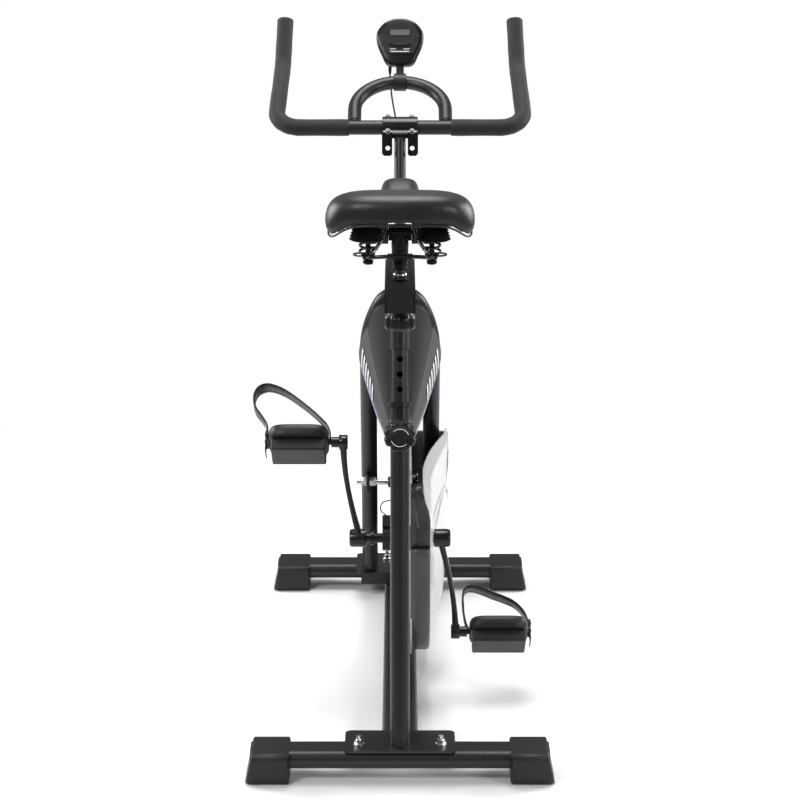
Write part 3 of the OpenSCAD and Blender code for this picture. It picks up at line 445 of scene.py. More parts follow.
# ------------------------------------------------------------------ saddle
def saddle():
    """Deep cushion with a high rear crown and a low nose, swelled by a short cloth simulation."""
    low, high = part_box("saddle_pad")
    half_w = high.x * 1.005
    start, length = low.y + 0.002, (high.y - low.y) - 0.004
    wide_at, nose_at, nose_w = 0.25, 0.86, 0.27
    edge_z = low.z + 0.022
    around = 96

    def half_width(u):
        if u < wide_at:
            return half_w * max(0.0, 1 - abs((wide_at - u) / wide_at) ** 2.5) ** (1 / 2.3)
        t = min(1.0, (u - wide_at) / (nose_at - wide_at - 0.06))
        width = half_w * (1 + (nose_w - 1) * (t * t * (3 - 2 * t)))
        if u > nose_at:
            width *= max(0.0, 1 - ((u - nose_at) / (1 - nose_at)) ** 2.2) ** 0.5
        return width

    def crown(u):
        return (high.z - 0.0008 - 0.033 * smooth_step(u, 0.20, 0.54)
                + 0.0205 * smooth_step(u, 0.58, 0.86) - 0.006 * smooth_step(u, 0.92, 1.0))

    def outline(k, rho):
        """Plan point k of the ring that lies at rho of the way out from the spine."""
        phi = 2 * math.pi * k / around
        u = (1 - math.cos(phi)) / 2
        x = half_width(u) * (1 if math.sin(phi) >= 0 else -1)
        spine = min(0.84, max(0.24, u))
        rear = 1 - smooth_step(u, 0.02, 0.22)
        rise = 0.004 + 0.006 * smooth_step(u, 0.10, 0.25) + 0.012 * smooth_step(u, 0.3, 0.8)
        lift = rise + 0.027 * rear * (1 - min(1.0, abs(x) / 0.115) ** 5)
        return rho * x, start + length * (spine + rho * (u - spine)), u, lift

    section = ((0.0, 1.0), (0.22, 0.997), (0.42, 0.985), (0.58, 0.955), (0.72, 0.89), (0.83, 0.79),
               (0.91, 0.64), (0.96, 0.46), (0.987, 0.25), (0.999, 0.02), (0.996, -0.3), (0.982, -0.6),
               (0.962, -0.86), (0.943, -1.0), (0.922, -1.0), (0.907, -0.8), (0.898, -0.3),
               (0.885, 0.05), (0.5, 0.08), (0.2, 0.08))
    verts = []
    for rho, h in section[1:]:
        for k in range(around):
            x, y, u, lift = outline(k, rho)
            edge = edge_z + 0.8 * lift
            skirt = low.z + 0.0005 + lift
            z = edge + (crown(u) - edge) * h if h > 0 else edge + (edge - skirt) * h
            verts.append((x, y, z))
    faces = grid_faces(len(section) - 1, around)
    last = (len(section) - 2) * around
    half = around // 2
    faces += [(1, 0, around - 1), (half, half - 1, half + 1)]
    faces += [(k + 1, k, around - k, around - k - 1) for k in range(1, half - 1)]
    faces += [(last, last + 1, last + around - 1), (last + half - 1, last + half, last + half + 1)]
    faces += [(last + k, last + k + 1, last + around - k - 1, last + around - k) for k in range(1, half - 1)]
    cushion = piece("saddle_cushion", verts, faces, VINYL, "saddle", replaces=["saddle_pad"],
                    slot="vinyl", angle=80)
    swell(cushion, voxel=0.0042, cap=0.0025, box=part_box("saddle_pad"))
    subdivide(cushion, 1)

    hem = [Vector(outline(k, 0.952)[:2] + (low.z + 0.0020 + outline(k, 0.952)[3],)) for k in range(around)]
    tube("saddle_piping", hem, 0.0016, VINYL, "saddle", sides=10, closed=True, slot="vinyl", angle=80)

    pan, rings = [], (0.89, 0.7, 0.45, 0.2)
    for rho in rings:
        for k in range(around):
            x, y, u, lift = outline(k, rho)
            pan.append((x, y, edge_z - 0.0012 + 0.8 * lift - 0.004 * (1 - rho)))
    pan_faces = grid_faces(len(rings), around)
    pan_faces.append(tuple(range((len(rings) - 1) * around, len(rings) * around)))
    plate = piece("saddle_pan", pan, pan_faces, MOULDED, "saddle", replaces=["saddle_base"],
                  slot="black_plastic", angle=60)
    thick = plate.modifiers.new("wall", "SOLIDIFY")
    thick.thickness = 0.0025
    for sign, side in ((-1, "left"), (1, "right")):
        bumper = [(0.0, 0.0)]
        for n in range(4):
            z = 0.0045 * n
            taper = 0.0012 * n
            bumper += [(0.024 - taper, z), (0.0268 - taper, z + 0.0016), (0.024 - taper, z + 0.0036)]
        bumper += [(0.018, 0.020), (0.0, 0.020)]
        lathe("saddle_bumper_" + side, bumper, RUBBER, "saddle",
              Matrix.Translation((sign * 0.050, low.y + 0.068, edge_z - 0.0225)), sides=56,
              slot="black_plastic")


def swell(obj, voxel, cap, box):
    """Puffs a closed mesh with cloth pressure, holding each point within cap of where it was."""
    bpy.context.view_layer.objects.active = obj
    remesh = obj.modifiers.new("voxels", "REMESH")
    remesh.mode = "VOXEL"
    remesh.voxel_size = voxel
    bpy.ops.object.modifier_apply(modifier=remesh.name)
    before = [v.co.copy() for v in obj.data.vertices]
    cloth = obj.modifiers.new("swell", "CLOTH")
    cloth.settings.use_pressure = True
    cloth.settings.uniform_pressure_force = 4
    cloth.settings.effector_weights.gravity = 0
    cloth.point_cache.frame_start = 1
    cloth.point_cache.frame_end = 20
    for step in range(1, 21):
        bpy.context.scene.frame_set(step)
    bpy.ops.object.modifier_apply(modifier=cloth.name)
    bpy.context.scene.frame_set(1)
    low, high = box
    for vertex, old in zip(obj.data.vertices, before):
        move = vertex.co - old
        if move.length > cap:
            move = move.normalized() * cap
        spot = old + move
        vertex.co = [min(max(spot[i], low[i]), high[i]) for i in range(3)]
    smooth = obj.modifiers.new("relax", "SMOOTH")
    smooth.factor = 0.5
    smooth.iterations = 12
    bpy.ops.object.modifier_apply(modifier=smooth.name)
    shade(obj, 80)


# ------------------------------------------------------------------ frame cover
def cover():
    """Two moulded halves that flare from the seat tube to the fork's crown."""
    low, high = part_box("cover_right")
    rear_w, front_w = 0.0205, high.x
    crease = ((0.0165, 0.541), (0.0565, 0.592))
    crown = (0.5475, high.z)
    lengthwise, across = 30, 24
    stripe_columns, panel_columns = (1,), 11

    def profile(t, v):
        """Point of the right-hand section at t along the cover, v from lower edge to ridge."""
        ease = t ** 0.85
        base_x = rear_w + (front_w - rear_w) * ease
        crease_x = crease[0][0] + (crease[1][0] - crease[0][0]) * ease
        crease_z = crease[0][1] + (crease[1][1] - crease[0][1]) * t
        top_z = crown[0] + (crown[1] - crown[0]) * t
        side, split = low.z, 0.5
        if v < split:
            s = v / split
            bow = 0.006 * t * math.sin(math.pi * min(1, s * 1.05))
            return Vector((base_x + (crease_x - base_x) * s ** 1.6 + bow, 0,
                           side + (crease_z - side) * s))
        s = (v - split) / (1 - split)
        a = math.radians(90 * s)
        return Vector((crease_x * math.cos(a) ** 0.92, 0,
                       crease_z + (top_z - crease_z) * math.sin(a) ** 1.15))

    def surface(t, v, sign):
        point = profile(t, v)
        sweep_back = 0.010 * math.sin(math.pi * v)
        return Vector((sign * max(point.x, 0.0002), low.y + (high.y - low.y) * t + sweep_back * t,
                       point.z))

    for sign, node, side in ((1, "cover_right", "right"), (-1, "cover_left", "left")):
        verts = [surface(i / lengthwise, k / across, sign)
                 for i in range(lengthwise + 1) for k in range(across + 1)]
        row = across + 1
        faces = [(i * row + k, i * row + k + 1, (i + 1) * row + k + 1, (i + 1) * row + k)
                 for i in range(lengthwise) for k in range(across)]
        shell = piece("cover_shell_" + side, verts, faces, SHELL, "frame", replaces=[node],
                      slot="cover_plastic", angle=30)
        shell.data.materials.append(PANEL)
        shell.data.materials.append(STRIPE)
        for polygon in shell.data.polygons:
            i, k = divmod(polygon.index, across)
            if k in stripe_columns and i > 0:
                polygon.material_index = 2
            elif k < panel_columns:
                polygon.material_index = 1
        thick = shell.modifiers.new("wall", "SOLIDIFY")
        thick.thickness = 0.0026
        thick.offset = -1
        bevel(shell, 0.0006, 2, 50)

        marks, mark_faces = [], []
        for n in range(6):
            for row_index in range(5):
                v = 0.13 + 0.045 * row_index
                for edge in (0, 0.042):
                    t = 0.40 + 0.082 * n + 0.012 * row_index + edge
                    point = surface(t, v, sign)
                    up = surface(t, v + 0.01, sign) - surface(t, v - 0.01, sign)
                    along = surface(t + 0.01, v, sign) - surface(t - 0.01, v, sign)
                    out = along.cross(up).normalized()
                    marks.append(point + out * math.copysign(0.0012, out.x * sign))
            base = 10 * n
            mark_faces += [(base + 2 * k, base + 2 * k + 1, base + 2 * k + 3, base + 2 * k + 2)
                           for k in range(4)]
        piece("cover_marks_" + side, marks, mark_faces, PRINT, "frame")

    rod = pivot("tension_knob_turn")
    at = rod + BRAKE_AXIS * ((0.634 - rod.z) / BRAKE_AXIS.z)
    ring = [(0.0155, -0.006), (0.0175, -0.003), (0.0175, 0.002), (0.0150, 0.0045), (0.0085, 0.0045),
            (0.0075, 0.003), (0.0075, -0.006)]
    lathe("tension_grommet", ring, RUBBER, "frame",
          frame_at(at, Vector((1, 0, 0)), BRAKE_AXIS.cross(Vector((1, 0, 0))), BRAKE_AXIS), sides=40)


# ------------------------------------------------------------------ belt guard
def belt_guard():
    """Dark rear bowl and a pale flared front and face round the belt, open along the top."""
    low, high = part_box("guard_inner")
    front_r = 0.094
    nose = (high.y - front_r, AXLE.z + 0.010)
    outline = [Vector((0, y, z)) for y, z in (
        (low.y + 0.006, 0.411), (low.y, 0.350), (low.y, 0.300), (low.y + 0.008, 0.215),
        (low.y + 0.035, 0.130), (low.y + 0.085, low.z + 0.006), (low.y + 0.16, low.z),
        (0.055, low.z + 0.009))]
    count = 24
    for i in range(count + 1):
        a = math.radians(-68 + 158 * i / count)
        outline.append(Vector((0, nose[0] + front_r * math.cos(a), nose[1] + front_r * math.sin(a))))
    outline += [Vector((0, 0.1, 0.386)), Vector((0, -0.05, 0.401))]
    ring = smooth_route(outline, 4, closed=True)
    spine = (Vector((0, -0.100, 0.285)), Vector((0, 0.225, 0.270)))

    def flare(y):
        return 0.036 * max(0.0, min(1.0, (y + 0.10) / 0.35)) ** 1.3

    def wall_x(p):
        return 0.050 - 0.011 * smooth_step(p.z, 0.352, 0.400) + flare(p.y)

    def face_x(p):
        belly = 0.018 * math.exp(-((p.y - 0.03) ** 2 + (p.z - 0.165) ** 2) / 0.055 ** 2)
        crank = 0.005 * math.exp(-((p.y + 0.10) ** 2 + (p.z - 0.283) ** 2) / 0.06 ** 2)
        return 0.0505 + flare(p.y) + belly + crank

    def spread(p, rho):
        t = min(1.0, max(0.0, (p.y - spine[0].y) / (spine[1].y - spine[0].y)))
        return spine[0].lerp(spine[1], t).lerp(p, rho)

    def open_top(p):
        return p.z > 0.406 - 0.115 * (p.y - low.y) and p.z > 0.345

    n = len(ring)
    rows = ((1.0, 0.0), (1.0, 0.4), (1.0, 0.8), (0.992, 0.93), (0.972, 1.0))
    bowl = []
    for rho, depth in rows:
        for p in ring:
            q = spread(p, rho)
            bowl.append(Vector((low.x + (wall_x(p) - low.x) * depth, q.y, q.z)))
    walls = [f for f in grid_faces(len(rows), n) if not all(open_top(ring[i % n]) for i in f)]

    def part_of(face):
        middle_y = sum(bowl[i].y for i in face) / 4
        middle_z = sum(bowl[i].z for i in face) / 4
        if middle_y > 0.02:
            return "front"
        return "upper" if middle_z > 0.300 else "lower"

    for name, material, replaced in (("upper", GREY, "guard_rear"), ("lower", LOWER, "guard_lower"),
                                     ("front", WHITE, "guard_outer")):
        part = [f for f in walls if part_of(f) == name]
        used = sorted({i for f in part for i in f})
        renumber = {old: new for new, old in enumerate(used)}
        obj = piece("guard_wall_" + name, [bowl[i] for i in used],
                    [tuple(renumber[i] for i in f) for f in part], material, "frame",
                    replaces=[replaced], slot="guard_white" if name == "front" else "guard_grey", angle=40)
        thick = obj.modifiers.new("wall", "SOLIDIFY")
        thick.thickness = 0.0024
        thick.offset = -1

    face_rows = (0.972, 0.955, 0.91, 0.84, 0.72, 0.58, 0.42, 0.25, 0.10)
    face = []
    for rho in face_rows:
        for p in ring:
            q = spread(p, rho)
            x = wall_x(p) + 0.0006
            if rho < 0.95:
                x += (face_x(q) + 0.001 - x) * smooth_step(rho, 0.972, 0.84)
            face.append(Vector((x, q.y, q.z)))
    faces = grid_faces(len(face_rows), n)
    faces.append(tuple(range((len(face_rows) - 1) * n, len(face_rows) * n)))
    cheek = piece("guard_face", face, faces, WHITE, "frame", replaces=["guard_outer"], slot="guard_white",
                  angle=50)
    thick = cheek.modifiers.new("wall", "SOLIDIFY")
    thick.thickness = 0.0020
    thick.offset = -1

    seam = [Vector((low.x + (0.0505 - low.x) * s, low.y - 0.0004, 0.300)) for s in (0.04, 0.3, 0.6, 0.97)]
    tube("guard_seam", seam, 0.0011, GLOSS_PAINT, "frame", sides=8, slot="guard_grey")
    rib = [(0.0195, low.y - 0.0022, 0.396), (0.0235, low.y - 0.0022, 0.396),
           (0.0330, low.y - 0.0026, 0.335), (0.0285, low.y - 0.0026, 0.335)]
    strip = [Vector(p) for p in rib] + [Vector(p) + Vector((0, 0.004, 0)) for p in rib]
    bevel(piece("guard_rib", strip, [(0, 1, 2, 3), (7, 6, 5, 4), (0, 4, 5, 1), (1, 5, 6, 2),
                                     (2, 6, 7, 3), (3, 7, 4, 0)], LOWER, "frame", slot="guard_grey"), 0.0006)


# ------------------------------------------------------------------ knobs
def lobed_knob(name, node, place, radius, neck, height, body, lobes=8, slot="knob_plastic"):
    """Scalloped hand knob along local +Z with a bell neck, a dished face and two pale arcs."""
    around = lobes * 12
    rows = ((neck * 0.60, 0.0, 0), (neck * 0.66, 0.10, 0), (neck * 0.80, 0.28, 0), (neck * 0.97, 0.44, 0.15),
            (radius * 0.94, 0.50, 0.75), (radius * 0.985, 0.54, 1), (radius, 0.62, 1), (radius, 0.84, 1),
            (radius * 0.985, 0.92, 1), (radius * 0.94, 0.975, 0.9), (radius * 0.86, 1.0, 0.6),
            (radius * 0.74, 1.0, 0), (radius * 0.71, 0.985, 0), (radius * 0.68, 0.978, 0),
            (radius * 0.3, 0.978, 0))
    verts = []
    for r, h, scallop in rows:
        for k in range(around):
            a = 2 * math.pi * k / around
            dip = max(0.0, math.cos(lobes * a)) ** 1.6
            grow = 1 - 0.13 * scallop * dip
            verts.append((r * grow * math.cos(a), r * grow * math.sin(a), h * height))
    faces = grid_faces(len(rows), around)
    faces.append(tuple(range(around))[::-1])
    faces.append(tuple(range((len(rows) - 1) * around, len(rows) * around)))
    piece(name, verts, faces, KNOB, body, replaces=[node], slot=slot, place=place, angle=50)
    arc_r, arc_w, steps = radius * 0.56, 0.0011, 14
    arcs, arc_faces = [], []
    for start in (20, 200):
        base = len(arcs)
        for i in range(steps + 1):
            a = math.radians(start + 115 * i / steps)
            for r in (arc_r - arc_w / 2, arc_r + arc_w / 2):
                arcs.append((r * math.cos(a), r * math.sin(a), height * 0.978 + 0.00025))
        arc_faces += [(base + 2 * i, base + 2 * i + 1, base + 2 * i + 3, base + 2 * i + 2)
                      for i in range(steps)]
    piece(name + "_arcs", arcs, arc_faces, PRINT, body, place=place)


def knobs():
    right = Vector((1, 0, 0))
    pin = middle("seat_knob")
    seat_low, seat_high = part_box("seat_knob")
    back = Vector((0, -1, 0))
    lobed_knob("seat_grip_knob", "seat_knob",
               frame_at(Vector((0, seat_high.y, pin.z)), right, back.cross(right), back),
               (seat_high.x - seat_low.x) / 2, 0.021, seat_high.y - seat_low.y, "seat_knob")
    low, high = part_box("slider_knob")
    down = Vector((0, 0, -1))
    lobed_knob("slider_grip_knob", "slider_knob",
               frame_at(Vector((0, middle("slider_knob").y, high.z)), right, down.cross(right), down),
               (high.x - low.x) / 2, 0.021, high.z - low.z, "slider_knob")
    knob_axis = axis("post_knob_turn")
    start = pivot("post_knob_turn") + knob_axis * 0.024
    lobed_knob("post_grip_knob", "post_knob",
               frame_at(start, right, knob_axis.cross(right), knob_axis), 0.022, 0.017, 0.038, "post_knob")
    rim = pivot("tension_knob_turn")
    place = frame_at(rim + BRAKE_AXIS * 0.340, right, BRAKE_AXIS.cross(right), BRAKE_AXIS)
    lobed_knob("tension_grip_knob", "tension_knob", place, 0.023, 0.017, 0.036, "tension_knob")
    rod = [rim + BRAKE_AXIS * s for s in (0.024, 0.1, 0.2, 0.345)]
    tube("tension_screw", rod, 0.0059, STEEL, "tension_knob", sides=20)


# ------------------------------------------------------------------ end caps
def end_caps():
    """Moulded caps whose outer end slopes in towards the top."""
    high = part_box("end_caps")[1]
    cap_l, cap_d, slope = 0.070, 0.082, 0.011
    for x_sign, side in ((-1, "left"), (1, "right")):
        for y_sign, end in ((-1, "rear"), (1, "front")):
            mid_y = y_sign * (high.y - cap_d / 2)
            rows = []
            stations = ((0.0, 0.90, 0.0), (0.0025, 1.0, 0.0), (cap_l - 0.010, 1.0, 0.25),
                        (cap_l - 0.003, 0.97, 0.8), (cap_l, 0.86, 1.0))
            for reach, grow, lean in stations:
                ring = []
                for k in range(48):
                    a = 2 * math.pi * k / 48
                    ca, sa = math.cos(a), math.sin(a)
                    y = cap_d / 2 * grow * math.copysign(abs(ca) ** 0.28, ca)
                    z = high.z / 2 * (1 + (grow * 0.5 + 0.5 if sa > 0 else 1)
                                      * math.copysign(abs(sa) ** 0.28, sa))
                    x = high.x - cap_l + reach - slope * lean * (z / high.z)
                    ring.append((x_sign * x, mid_y + y, max(z, 0.0)))
                rows += ring
            faces = grid_faces(len(stations), 48)
            faces.append(tuple(range(48))[::-1])
            faces.append(tuple(range(4 * 48, 5 * 48)))
            piece(f"end_cap_{end}_{side}", rows, faces, MOULDED, "frame", replaces=["end_caps"],
                  slot="black_plastic", angle=50)


# ------------------------------------------------------------------ cranks, pedals and straps
def crank_arm(side, sign, up):
    """Forged arm that bows out from its boss, with a rib down its face."""
    node = "crank_arm_" + side
    length = abs(pivot("pedal_left_spin").z - BRACKET.z)
    base_x, eye_x = 0.068, 0.095
    boss_r, eye_r = 0.0155, 0.0125
    rows, around = [], 24
    steps = 22
    for i in range(steps + 1):
        t = i / steps
        r = t * length
        x = base_x + (eye_x - base_x) * math.sin(math.radians(90 * t))
        half_w = 0.0125 - 0.0030 * math.sin(math.pi * t) - 0.0012 * t
        half_t = 0.0062 - 0.0016 * math.sin(math.pi * t)
        for k in range(around):
            a = 2 * math.pi * k / around
            ca, sa = math.cos(a), math.sin(a)
            rib = 1 - 0.22 * math.exp(-(sa / 0.35) ** 2) * (1 if ca > 0 else 0.4) * math.sin(math.pi * t)
            rows.append((x + half_t * rib * math.copysign(abs(ca) ** 0.55, ca),
                         half_w * math.copysign(abs(sa) ** 0.55, sa), r))
    faces = grid_faces(steps + 1, around)
    faces.append(tuple(range(around))[::-1])
    faces.append(tuple(range(steps * around, (steps + 1) * around)))
    place = Matrix.Translation(BRACKET) @ Matrix.Diagonal((sign, 1, up, 1))
    piece("crank_bar_" + side, rows, faces, GLOSS_PAINT, "crankset", replaces=[node],
          slot="crank_paint", place=place, angle=50)
    turn = Matrix.Rotation(math.radians(90), 4, "Y")
    boss = [(0.0, 0.0575), (boss_r - 0.002, 0.0575), (boss_r, 0.0592), (boss_r, 0.081),
            (boss_r - 0.0012, 0.0845), (boss_r - 0.004, 0.086), (0.0095, 0.086), (0.0088, 0.0848),
            (0.0, 0.0848)]
    lathe("crank_boss_" + side, boss, GLOSS_PAINT, "crankset", place @ turn, slot="crank_paint", sides=48,
          angle=40)
    eye = [(0.0, -0.0075), (eye_r - 0.001, -0.0075), (eye_r, -0.0062), (eye_r, 0.0062),
           (eye_r - 0.001, 0.0075), (0.0, 0.0075)]
    lathe("crank_eye_" + side, eye, GLOSS_PAINT, "crankset",
          place @ Matrix.Translation((eye_x, 0, length)) @ turn, slot="crank_paint", sides=40, angle=40)


def pedal_place(side, sign):
    """Local frame of a pedal: X outwards along its axle, Z square to its board."""
    centre = pivot(f"pedal_{side}_spin")
    return (Matrix.Translation(Vector((0, centre.y, centre.z)))
            @ Matrix.Rotation(math.radians(-PEDAL_TILT), 4, "X") @ Matrix.Diagonal((sign, 1, 1, 1)))


def pedal(side, sign):
    """Pedal body with a treaded platform, an under-box and a dust cap."""
    body = "pedal_" + side
    inner, outer = 0.1185, 0.2195
    place = pedal_place(side, sign)

    rows, around = [], 64
    stations = ((-0.0095, 0.86), (-0.0085, 0.95), (-0.0055, 0.99), (0.004, 1.0), (0.0095, 0.985),
                (0.0125, 0.94), (0.0138, 0.86))
    mid_x, half_x, half_y = (inner + outer) / 2, (outer - inner) / 2, 0.0455
    for z, grow in stations:
        for k in range(around):
            a = 2 * math.pi * k / around
            ca, sa = math.cos(a), math.sin(a)
            waist = 1 - 0.07 * (1 - abs(sa)) ** 2
            rows.append((mid_x + half_x * (1 - (1 - grow) * 0.6) * math.copysign(abs(ca) ** 0.42, ca),
                         half_y * grow * waist * math.copysign(abs(sa) ** 0.5, sa), z))
    faces = grid_faces(len(stations), around)
    faces.append(tuple(range(around))[::-1])
    faces.append(tuple(range((len(stations) - 1) * around, len(stations) * around)))
    piece("pedal_platform_" + side, rows, faces, MOULDED, body, replaces=["pedal_" + side],
          slot="black_plastic", place=place, angle=40)
    for n in range(7):
        y = -0.033 + 0.011 * n
        rounded_box(f"pedal_tread_{side}_{n}", (inner + 0.014, y - 0.0018, 0.0128),
                    (outer - 0.014, y + 0.0018, 0.0148), 0.0007, MOULDED, body, place=place,
                    slot="black_plastic")
    rounded_box("pedal_box_" + side, (inner + 0.005, -0.034, -0.0300), (outer - 0.005, 0.026, -0.0085),
                0.003, MOULDED, body, place=place, slot="black_plastic")
    turn = Matrix.Rotation(math.radians(90), 4, "Y")
    cap = [(0.0, outer + 0.0005), (0.007, outer + 0.0005), (0.0088, outer - 0.0008), (0.0088, outer - 0.008)]
    lathe("pedal_dust_cap_" + side, cap, KNOB, body, place @ turn, sides=32)


def band(name, points, widths, thickness, material, body, place, **about):
    """Flat strap along points of (x, z), its width along local Y, tapering through widths."""
    route = smooth_route([(x, 0, z) for x, z in points], 8)
    steps = len(route) - 1
    section = ((-1, -0.4), (-0.94, -1), (0.94, -1), (1, -0.4), (1, 0.4), (0.94, 1), (-0.94, 1), (-1, 0.4))
    verts = []
    for i, point in enumerate(route):
        before, after = route[max(i - 1, 0)], route[min(i + 1, steps)]
        along = (after - before).normalized()
        where = i / steps * (len(widths) - 1)
        n = min(int(where), len(widths) - 2)
        width = widths[n] + (widths[n + 1] - widths[n]) * (where - n)
        wide = Vector((0, 1, 0))
        out = along.cross(wide)
        for a, b in section:
            verts.append(point + wide * (a * width / 2) + out * (b * thickness / 2))
    faces = grid_faces(steps + 1, 8)
    faces.append(tuple(range(8))[::-1])
    faces.append(tuple(range(steps * 8, steps * 8 + 8)))
    return piece(name, verts, faces, material, body, place=place, angle=45, **about)


def toe_strap(side, sign, loop, widths):
    """Moulded strap over the foot, with its tail, keepers and a stud at the outer end."""
    body = "pedal_" + side
    place = pedal_place(side, sign)
    band("strap_band_" + side, loop, widths, 0.0026, STRAP, body, place, replaces=["strap_" + side],
         slot="strap")
    edge_in = [(x, z) for x, z in loop[3:-2]]
    for n, y in enumerate((-1, 1)):
        bead_route = smooth_route([(x, y * 0.0095, z) for x, z in edge_in], 8)
        tube(f"strap_bead_{side}_{n}", [place @ Vector(p) for p in bead_route], 0.0017, STRAP, body,
             sides=8, slot="strap", angle=80)
    x, z = loop[0]
    tail = [(x + 0.001, z), (x + 0.0035, z - 0.010), (x + 0.0020, z - 0.022)]
    band("strap_tail_" + side, tail, [0.014, 0.016], 0.0022, STRAP, body, place, slot="strap")
    for n, up in enumerate((-0.002, 0.010)):
        rounded_box(f"strap_keeper_{side}_{n}", (x - 0.0045, -0.0150, z + up),
                    (x + 0.0048, 0.0150, z + up + 0.0045), 0.001, MOULDED, body, place=place, slot="strap")
    pin = Matrix.Translation((x + 0.0010, 0, z + 0.021)) @ Matrix.Rotation(math.radians(90), 4, "Y")
    stud = [(0.0, -0.0020), (0.0042, -0.0020), (0.0048, -0.0010), (0.0048, 0.0026), (0.0036, 0.0036),
            (0.0, 0.0036)]
    lathe("strap_stud_" + side, stud, MOULDED, body, place @ pin, sides=28, slot="strap")


def cranks():
    crank_arm("left", -1, 1)
    crank_arm("right", 1, -1)
    for side, sign in (("left", -1), ("right", 1)):
        pedal(side, sign)
    toe_strap("left", -1,
              ((0.2215, -0.004), (0.2232, 0.0096), (0.2228, 0.0265), (0.2325, 0.0434), (0.2425, 0.0585),
               (0.2465, 0.0755), (0.2430, 0.0907), (0.2335, 0.1000), (0.2185, 0.1021), (0.1949, 0.0926),
               (0.1691, 0.0736), (0.1433, 0.0509), (0.1240, 0.0302), (0.1175, 0.0152), (0.1170, 0.0030)),
              (0.022, 0.026, 0.034, 0.034, 0.026, 0.019, 0.018))
    toe_strap("right", 1,
              ((0.2200, -0.003), (0.2190, 0.0173), (0.2104, 0.0358), (0.1952, 0.0506), (0.1781, 0.0590),
               (0.1592, 0.0664), (0.1403, 0.0748), (0.1240, 0.0790), (0.1125, 0.0750), (0.1085, 0.0617),
               (0.1090, 0.0395), (0.1120, 0.0173), (0.1170, 0.0030)),
              (0.020, 0.028, 0.033, 0.033, 0.028, 0.020, 0.018))


# ------------------------------------------------------------------ handlebar, loop and grips
def bar_place():
    return tilted(BAR, BAR_RISE)


def arc(centre, radius, start, end, steps, plane="XY"):
    points = []
    for i in range(steps + 1):
        a = math.radians(start + (end - start) * i / steps)
        x, y = centre[0] + radius * math.cos(a), centre[1] + radius * math.sin(a)
        points.append(Vector((x, y, 0)) if plane == "XY" else Vector((x, 0, y)))
    return points


def grip_route(sign):
    """Centre line of one side of the bar, from where the foam starts to the tip."""
    corner_r, corner_a, arm, knee_r, knee_a, tip = 0.042, 92.4, 0.118, 0.060, 29, 0.074
    run = 0.217 - corner_r
    points = [Vector((x, 0, 0)) for x in (0.091, 0.11, 0.13, 0.15)]
    points += arc((run, corner_r), corner_r, -90, corner_a - 90, 14)
    heading = math.radians(corner_a)
    forward = Vector((math.cos(heading), math.sin(heading), 0))
    start = points[-1]
    points += [start + forward * (arm * s) for s in (0.2, 0.4, 0.6, 0.8, 1.0)]
    knee = points[-1]
    up = Vector((0, 0, 1))
    for i in range(1, 11):
        a = math.radians(knee_a * i / 10)
        points.append(knee + forward * (knee_r * math.sin(a)) + up * (knee_r * (1 - math.cos(a))))
    a = math.radians(knee_a)
    tip_dir = forward * math.cos(a) + up * math.sin(a)
    last = points[-1]
    points += [last + tip_dir * (tip * s) for s in (0.2, 0.4, 0.6, 0.8, 1.0)]
    flip = Matrix.Diagonal((sign, 1, 1, 1))
    return [bar_place() @ flip @ p for p in points]


def grips():
    for sign, side in ((-1, "left"), (1, "right")):
        route = grip_route(sign)
        count = len(route)
        radii = [0.0146 + 0.0002 * math.sin(i * 1.7) for i in range(count)]
        obj = tube("foam_grip_" + side, route, radii, FOAM, "handlebar", sides=40, round_end=0.0018,
                   replaces=["foam_grips"], slot="foam", angle=60)
        end, before = route[-1], route[-2]
        out = (end - before).normalized()
        side_dir = out.orthogonal().normalized()
        plug = [(0.0, 0.0030), (0.0085, 0.0028), (0.0118, 0.0018), (0.0128, 0.0002), (0.0128, -0.001)]
        lathe("bar_plug_" + side, plug, MOULDED, "handlebar",
              frame_at(end, side_dir, out.cross(side_dir), out), sides=40, slot="black_plastic")


def loop():
    loop_r, leg, tube_r = 0.080, 0.050, 0.0118
    points = [Vector((loop_r, y, 0)) for y in (0.008, 0.02, 0.035, leg)]
    points += arc((0, leg), loop_r, 0, 180, 40)[1:]
    points += [Vector((-loop_r, y, 0)) for y in (0.035, 0.02, 0.008)]
    tube("loop_tube", [bar_place() @ p for p in points], tube_r, POWDER, "handlebar", sides=36,
         replaces=["handlebar_loop"], slot="fork_paint", angle=60)
    for sign, side in ((-1, "left"), (1, "right")):
        weld_r = tube_r + 0.0004
        turns = [2 * math.pi * k / 40 for k in range(40)]
        weld = [Vector((sign * loop_r + weld_r * math.cos(a), 0.0122 - 0.0025 * abs(math.cos(a)),
                        weld_r * math.sin(a))) for a in turns]
        tube("loop_weld_" + side, [bar_place() @ p for p in weld], 0.0013, POWDER, "handlebar", sides=8,
             closed=True, angle=80)


